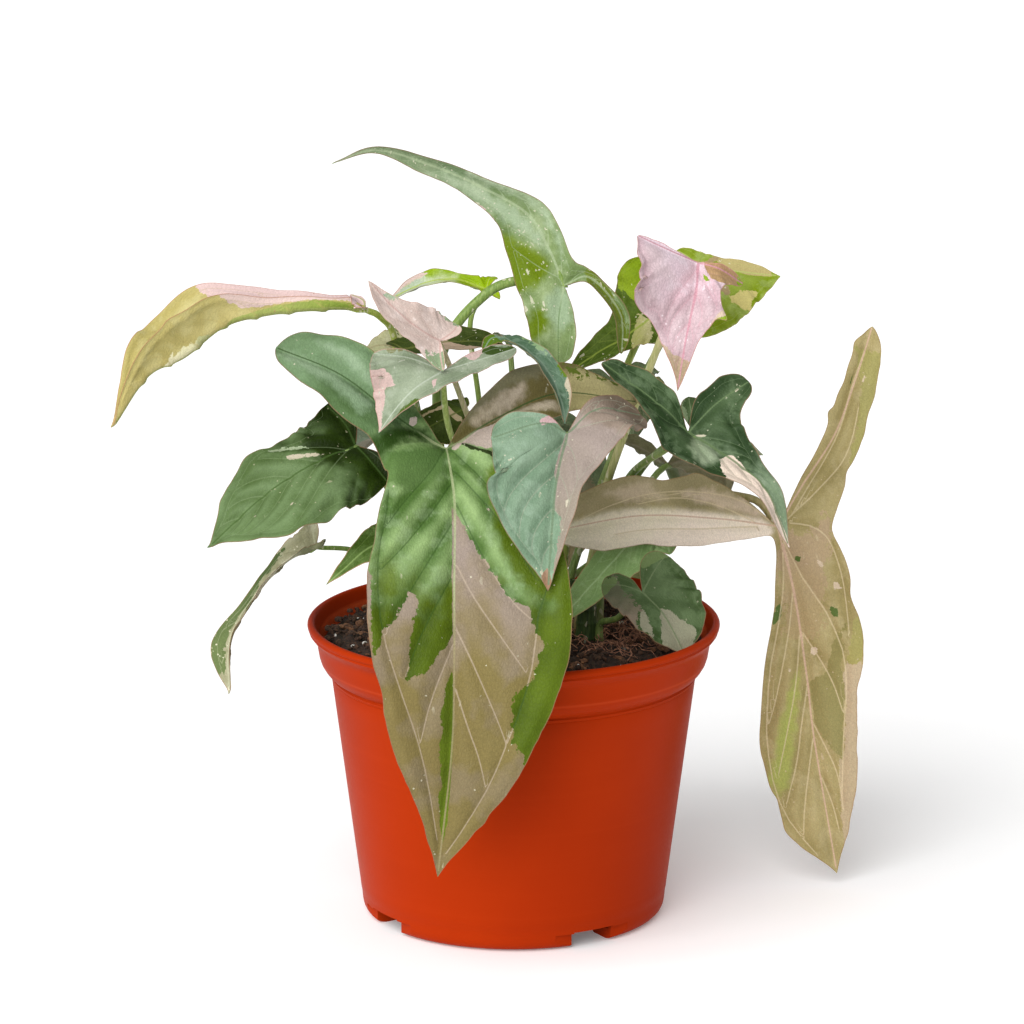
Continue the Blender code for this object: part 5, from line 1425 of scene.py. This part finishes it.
def pot_material():
    """Orange-red moulded plastic with a satin skin, and painted light that makes the inner wall under the
    rim lighter.
    """
    n = Nodes("pot_plastic")
    place = n.place()
    broad = n.noise(place, 14, 3)
    fine = n.noise(place, 900, 2)
    axes = n.axes(place)
    radius = n.math("SQRT", n.plus(n.math("POWER", axes[0], 2.0), n.math("POWER", axes[1], 2.0)))
    # painted light: the inner wall under the rim is made lighter, as if light shone through the thin
    # plastic
    inside = n.times(n.step(radius, (BAND_RADIUS - 1) * MM, (BAND_RADIUS - 1.5) * MM),
                    n.step(axes[2], (POT_HEIGHT - 15) * MM, (POT_HEIGHT - 13) * MM))
    rings = n.noise(n.stretch(place, 3, 3, 260), 1, 3)
    colour = n.mix(n.step(broad, 0.35, 0.65), (162, 45, 4), (156, 42, 4))
    colour = n.mix(n.step(rings, 0.5, 0.75, 0, 0.12), colour, (178, 56, 14))
    colour = n.mix(inside, colour, (214, 84, 44))
    rough = n.plus(n.step(broad, 0.3, 0.7, 0.40, 0.47), n.step(fine, 0.3, 0.7, -0.02, 0.03))
    bump = n.plus(n.times(fine, 0.4), n.times(rings, 0.35))
    return n.finish(colour, rough, bump, 0.12, 0.0003, Specular_IOR_Level=0.03)


def soil_material(name, dark, light, scale):
    """Peat, bark or perlite: grains of uneven tone, dull."""
    n = Nodes(name)
    place = n.place()
    grain = n.noise(place, scale, 5, 0.7)
    tone = n.chances(place, scale * 0.8)[0]
    colour = n.mix(n.step(grain, 0.35, 0.7), dark, light)
    colour = n.mix(n.step(tone, 0.6, 1.0, 0, 0.5), colour, light)
    return n.finish(colour, n.step(grain, 0, 1, 0.75, 0.95), grain, 0.6, 0.0006)


# ---------------------------------------------------------------- pot, soil, stems and roots

def linked(name, data):
    """An object in the scene."""
    made = bpy.data.objects.new(name, data)
    bpy.context.scene.collection.objects.link(made)
    return made


def mesh_of(name, points, faces, smooth=True):
    """A mesh from points in millimetres and faces."""
    mesh = bpy.data.meshes.new(name)
    mesh.from_pydata(points * MM, [], faces)
    mesh.polygons.foreach_set("use_smooth", [smooth] * len(faces))
    return mesh


def place_object(name, mesh, materials, node=None):
    """An object that rides on the part and stands for a CAD node."""
    made = linked(name, mesh)
    for material in materials:
        mesh.materials.append(material)
    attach(made, "root")
    if node:
        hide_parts(*([node] if isinstance(node, str) else node))
    return made


def arc(centre, radius, start, end, steps=6):
    """Radius and height pairs round part of a circle, angles in degrees."""
    return [(centre[0] + radius * cos(radians(a)), centre[1] + radius * sin(radians(a)))
            for a in np.linspace(start, end, steps)]


def beside(radius, *steps):
    """Radius and height pairs, from how far out of a radius each is, and its height."""
    return [(radius + out, height) for out, height in steps]


def pot_profile():
    """The pot's section, from the rim's inside edge out, down, under and back up inside."""
    top, inside = POT_HEIGHT, BASE_RISE + FLOOR
    wall = beside(SHOULDER_RADIUS, (-0.2, 89.4)) + beside(HEEL_RADIUS, (0.9, 9.0))
    slope = [tuple(np.array(wall[0]) + share * (np.array(wall[1]) - wall[0]))
             for share in np.linspace(0.08, 0.96, 12)]
    outer = (
        beside(RIM_RADIUS, (-2.6, top - 0.5)) + arc((RIM_RADIUS - 1.5, top - 1.5), 1.5, 110, 0, 9)
        + beside(RIM_RADIUS, (-0.15, top - 2.2), (-0.75, top - 2.6), (-0.8, top - 3.1), (-0.6, top - 3.5),
                 (-1.4, top - 4.6))
        + beside(BAND_RADIUS, (0.9, top - 5.6), (0.3, top - 6.6), (0, top - 7.8), (-0.25, 101.5),
                 (-0.8, 98.2), (-1.5, 96), (-2.7, 94))
        + beside(SHOULDER_RADIUS, (1.2, 92.6), (0.25, 92.1), (-0.25, 91.7), (-0.15, 91.2), (0.15, 90.9),
                 (0.05, 90.1), (-0.35, 89.8), (-0.2, 89.4))
        + slope
        + beside(HEEL_RADIUS, (0.95, 9.2), (0.75, 8.8), (0.5, 6.0), (0.35, 4.6), (0.05, 3.2), (-0.5, 2.1),
                 (-1.4, 1.2), (-2.6, 0.6))
        + beside(FOOT_RADIUS, (0.6, 0.15), (0, 0)))
    under = beside(FOOT_INNER_RADIUS, (0, 0), (-0.6, 0.4), (-1, BASE_RISE)) + [(0, BASE_RISE)]
    inner = (
        [(0, inside)] + beside(HEEL_RADIUS - WALL, (-2, inside), (0, 7))
        + beside(SHOULDER_RADIUS - WALL, (0, BAND_FOOT))
        + beside(BAND_RADIUS - WALL, (-0.9, 96), (0, top - 6), (0.5, top - 4))
        + beside(RIM_RADIUS, (-3.1, top - 1.6)))
    return outer + under + inner


def turned_mesh(name, profile, steps):
    """A closed profile of radius and height pairs, turned about the Z axis."""
    form = bmesh.new()
    made = [form.verts.new((r * MM, 0, z * MM)) for r, z in profile]
    edges = [form.edges.new((a, b)) for a, b in zip(made, made[1:] + made[:1])]
    bmesh.ops.spin(form, geom=made + edges, axis=(0, 0, 1), cent=(0, 0, 0), angle=2 * pi, steps=steps)
    bmesh.ops.remove_doubles(form, verts=form.verts, dist=1e-6)
    bmesh.ops.recalc_face_normals(form, faces=form.faces)
    mesh = bpy.data.meshes.new(name)
    form.to_mesh(mesh)
    form.free()
    return mesh


def cutter(size, radius, angle):
    """A box that a Boolean takes away from the pot's heel."""
    form = bmesh.new()
    bmesh.ops.create_cube(form, size=1)
    bmesh.ops.scale(form, vec=Vector(size) * MM, verts=form.verts)
    bmesh.ops.translate(form, vec=(0, -radius * MM, 0), verts=form.verts)
    bmesh.ops.rotate(form, matrix=Matrix.Rotation(angle, 3, "Z"), verts=form.verts)
    mesh = bpy.data.meshes.new("cutter")
    form.to_mesh(mesh)
    form.free()
    return linked("cutter", mesh)


def pot():
    """The pot's thin shell, with the notches and drain slots cut out of its heel."""
    mesh = turned_mesh("pot_shell", pot_profile(), POT_STEPS)
    made = linked("pot_shell", mesh)
    tools = []
    for degrees in NOTCH_ANGLES:
        angle = radians(degrees)
        tools.append(cutter((NOTCH_WIDTH, 20, 2 * NOTCH_HEIGHT), HEEL_RADIUS - NOTCH_DEPTH + 10, angle))
        tools.append(cutter((DRAIN_WIDTH, 30, 2 * DRAIN_HEIGHT), DRAIN_INNER_RADIUS + 15, angle))
    for tool in tools:
        step = made.modifiers.new("cut", "BOOLEAN")
        step.operation, step.solver, step.object = "DIFFERENCE", "EXACT", tool
    bpy.context.view_layer.update()
    mesh = bpy.data.meshes.new_from_object(made.evaluated_get(bpy.context.evaluated_depsgraph_get()))
    for old in [made, *tools]:
        bpy.data.objects.remove(old)
    form = bmesh.new()
    form.from_mesh(mesh)
    for face in form.faces:
        face.smooth = True
    for edge in form.edges:
        edge.smooth = len(edge.link_faces) != 2 or edge.calc_face_angle(0) < SHARP
    form.to_mesh(mesh)
    form.free()
    place_object("pot_shell", mesh, [pot_material()], "pot")


def soil_relief(points):
    """How far the soil's surface stands above its mean height, in millimetres."""
    heap = SOIL_HEAP * ease((-points[:, 0] - 25) / 30)
    return heap + sum(hash_noise(points, size, seed) * height for size, height, seed in SOIL_LUMPS)


def soil():
    """The soil's surface, its wall against the pot, and the crumbs, bark and perlite that lie on it."""
    edge = BAND_RADIUS - WALL - SOIL_GAP
    rings, steps = SOIL_RINGS, SOIL_STEPS
    turn = 2 * pi * np.arange(steps) / steps
    points = [(0.0, 0.0)]
    for ring in range(1, rings + 1):
        radius = edge * ring / rings
        points += list(zip(radius * np.cos(turn), radius * np.sin(turn)))
    flat = np.array(points)
    radius = np.hypot(*flat.T)
    height = soil_height(radius) + soil_relief(flat) * np.clip((edge - radius) / 4, 0.2, 1) - SOIL_SINK
    faces = [[0, 1 + k, 1 + (k + 1) % steps] for k in range(steps)]
    for ring in range(rings - 1):
        base = 1 + ring * steps
        for k in range(steps):
            after = (k + 1) % steps
            faces.append([base + k, base + steps + k, base + steps + after, base + after])
    low = len(flat)
    space = np.column_stack([flat, height])
    rim = space[1 + (rings - 1) * steps:].copy()
    rim[:, 2] = SOIL_FOOT
    base = 1 + (rings - 1) * steps
    faces += [[base + k, low + k, low + (k + 1) % steps, base + (k + 1) % steps] for k in range(steps)]
    faces.append([low + k for k in range(steps)][::-1])
    peat = soil_material("peat", (16, 10, 6), (66, 43, 28), 900)
    place_object("soil_bed", mesh_of("soil_bed", np.vstack([space, rim]), faces), [peat], "soil")
    for kind, count, sizes, flatness, seed, (skin, *look) in CRUMBS:
        crumbs("soil_" + kind, count, sizes, flatness, seed, soil_material(skin, *look))


def crumbs(name, count, sizes, flatness, seed, material):
    """Rough grains scattered over the soil."""
    random = np.random.default_rng(seed)
    form = bmesh.new()
    bmesh.ops.create_icosphere(form, subdivisions=1 if count > 500 else 2, radius=1)
    ball = np.array([v.co[:] for v in form.verts])
    ball_faces = [[v.index for v in face.verts] for face in form.faces]
    form.free()
    space, faces = [], []
    for _ in range(count):
        radius, turn = CRUMB_REACH * random.uniform(0, 1) ** 0.5, random.uniform(0, 2 * pi)
        x, y = radius * cos(turn), radius * sin(turn)
        size = random.uniform(*sizes) * random.uniform(0.6, 1)
        shape = ball * (1 + random.uniform(-0.28, 0.28, (len(ball), 1)))
        shape = shape * (size, size * random.uniform(0.45, 0.9), size * flatness)
        spin = Matrix.Rotation(random.uniform(0, 2 * pi), 3, "Z")
        spin = spin @ Matrix.Rotation(random.uniform(-0.7, 0.7), 3, "X")
        shape = shape @ np.array(spin).T
        z = soil_height(radius) - SOIL_SINK + soil_relief(np.array([(x, y)]))[0] + size * flatness * 0.3
        start = len(space) * len(ball)
        space.append(shape + (x, y, z))
        faces += [[start + k for k in face] for face in ball_faces]
    place_object(name, mesh_of(name, np.vstack(space), faces, smooth=False), [material], None)


def joined(name, parts):
    """One mesh from tubes, each a pair of points and faces."""
    space, faces = [], []
    for points, ring in parts:
        start = sum(map(len, space))
        space.append(points)
        faces += [[start + k for k in face] for face in ring]
    return mesh_of(name, np.vstack(space), faces)


def stems():
    """Short ringed stems, thick at the soil."""
    for letter, (x, y) in CROWNS.items():
        low = soil_height((x * x + y * y) ** 0.5) - STEM_SINK
        up = np.linspace(0, 1, 40)
        line = np.column_stack([x + 0 * up, y + 0 * up, low + up * (STEM_HEIGHT + STEM_SINK)])
        rings = 0.22 * np.exp(-((up * 3.2 % 1 - 0.5) / 0.09) ** 2)
        radii = (STEM_RADIUS + (STEM_TOP_RADIUS - STEM_RADIUS) * up + rings) * np.where(up > 0.96, 0.8, 1)
        mesh = joined(f"stem_{letter}_grown", [tube(line, radii, 24)])
        write(mesh, "stalk", np.full(len(mesh.vertices), 0.5))
        skin = stalk_material("stem_skin", (44, 66, 34), (92, 112, 62))
        place_object(f"stem_{letter}_grown", mesh, [skin], f"stem_{letter}")


def roots():
    """Thin curly roots over the soil."""
    random = np.random.default_rng(5)
    skin = soil_material("root_skin", (84, 50, 36), (206, 150, 120), 500)
    for name, places in ROOTS.items():
        parts = []
        for number in range(ROOT_COUNT):
            start = np.array(places[0]) + random.uniform(-12, 12, 2)
            way = random.uniform(0, 2 * pi)
            path = [start]
            for _ in range(ROOT_STEPS):
                way += random.uniform(-0.9, 0.9) + 0.25 * (1 if number % 2 else -1)
                path.append(path[-1] + ROOT_STEP * np.array([cos(way), sin(way)]))
            path = places if number == 0 else path
            path = [p * min(1, ROOT_REACH / max(np.hypot(*p), 1)) for p in path]
            lifts = random.uniform(0.2, 1.8 if number == 0 else 3.8, len(path))
            route = [(px, py, soil_height(np.hypot(px, py)) + lift) for (px, py), lift in zip(path, lifts)]
            line = curve(route, 50)
            radius = 0.5 if number == 0 else random.uniform(0.14, 0.27)
            parts.append(tube(line, np.linspace(radius, radius * 0.5, len(line)), 6))
        place_object(name + "_grown", joined(name + "_grown", parts), [skin], name)


# ---------------------------------------------------------------- stage

def stage():
    """A pale floor, a soft sun from the left and the front, a white sky, and the camera."""
    floor = bpy.data.meshes.new("floor")
    corners = [(x * FLOOR_REACH, y * FLOOR_REACH, 0) for x, y in ((-1, -1), (1, -1), (1, 1), (-1, 1))]
    floor.from_pydata(corners, [], [(0, 1, 2, 3)])
    n = Nodes("floor_paper")
    grain = n.noise(n.place(), 40, 3)
    floor.materials.append(n.finish(
        n.mix(grain, (250, 250, 250), (247, 247, 247)), 0.9,
        Emission_Color=(255, 255, 255), Emission_Strength=0.12))
    made = linked("floor", floor)
    world = bpy.data.worlds.new("studio")
    world.use_nodes = True
    sky = world.node_tree.nodes["Background"].inputs
    sky["Color"].default_value = paint(255, 255, 255)
    sky["Strength"].default_value = SKY_STRENGTH
    bpy.context.scene.world = world
    lamp = bpy.data.lights.new("key", "SUN")
    lamp.energy = SUN_POWER
    lamp.angle = SUN_ANGLE
    linked("key", lamp).rotation_euler = Vector(SUN_WAY).to_track_quat("Z", "Y").to_euler()
    lens = bpy.data.cameras.new("camera")
    lens.lens = LENS
    lens.sensor_width = 36
    lens.clip_end = 100
    camera = linked("camera", lens)
    camera.location = CAMERA_PLACE
    camera.rotation_euler = (Vector(CAMERA_AIM) - Vector(CAMERA_PLACE)).to_track_quat("-Z", "Y").to_euler()
    bpy.context.scene.camera = camera
    bpy.context.scene.view_settings.view_transform = "Standard"


def main():
    """The stage and every piece of the plant."""
    stage()
    pot()
    soil()
    stems()
    roots()
    for name, leaf in LEAVES.items():
        look = LOOKS[name]
        mesh = leaf_mesh(name, leaf, look)
        skins = [leaf_material(name + "_skin", look),
                 stalk_material(name + "_stalk", *look.get("stalk", STALK))]
        place_object(name + "_blade", mesh, skins, name)


main()
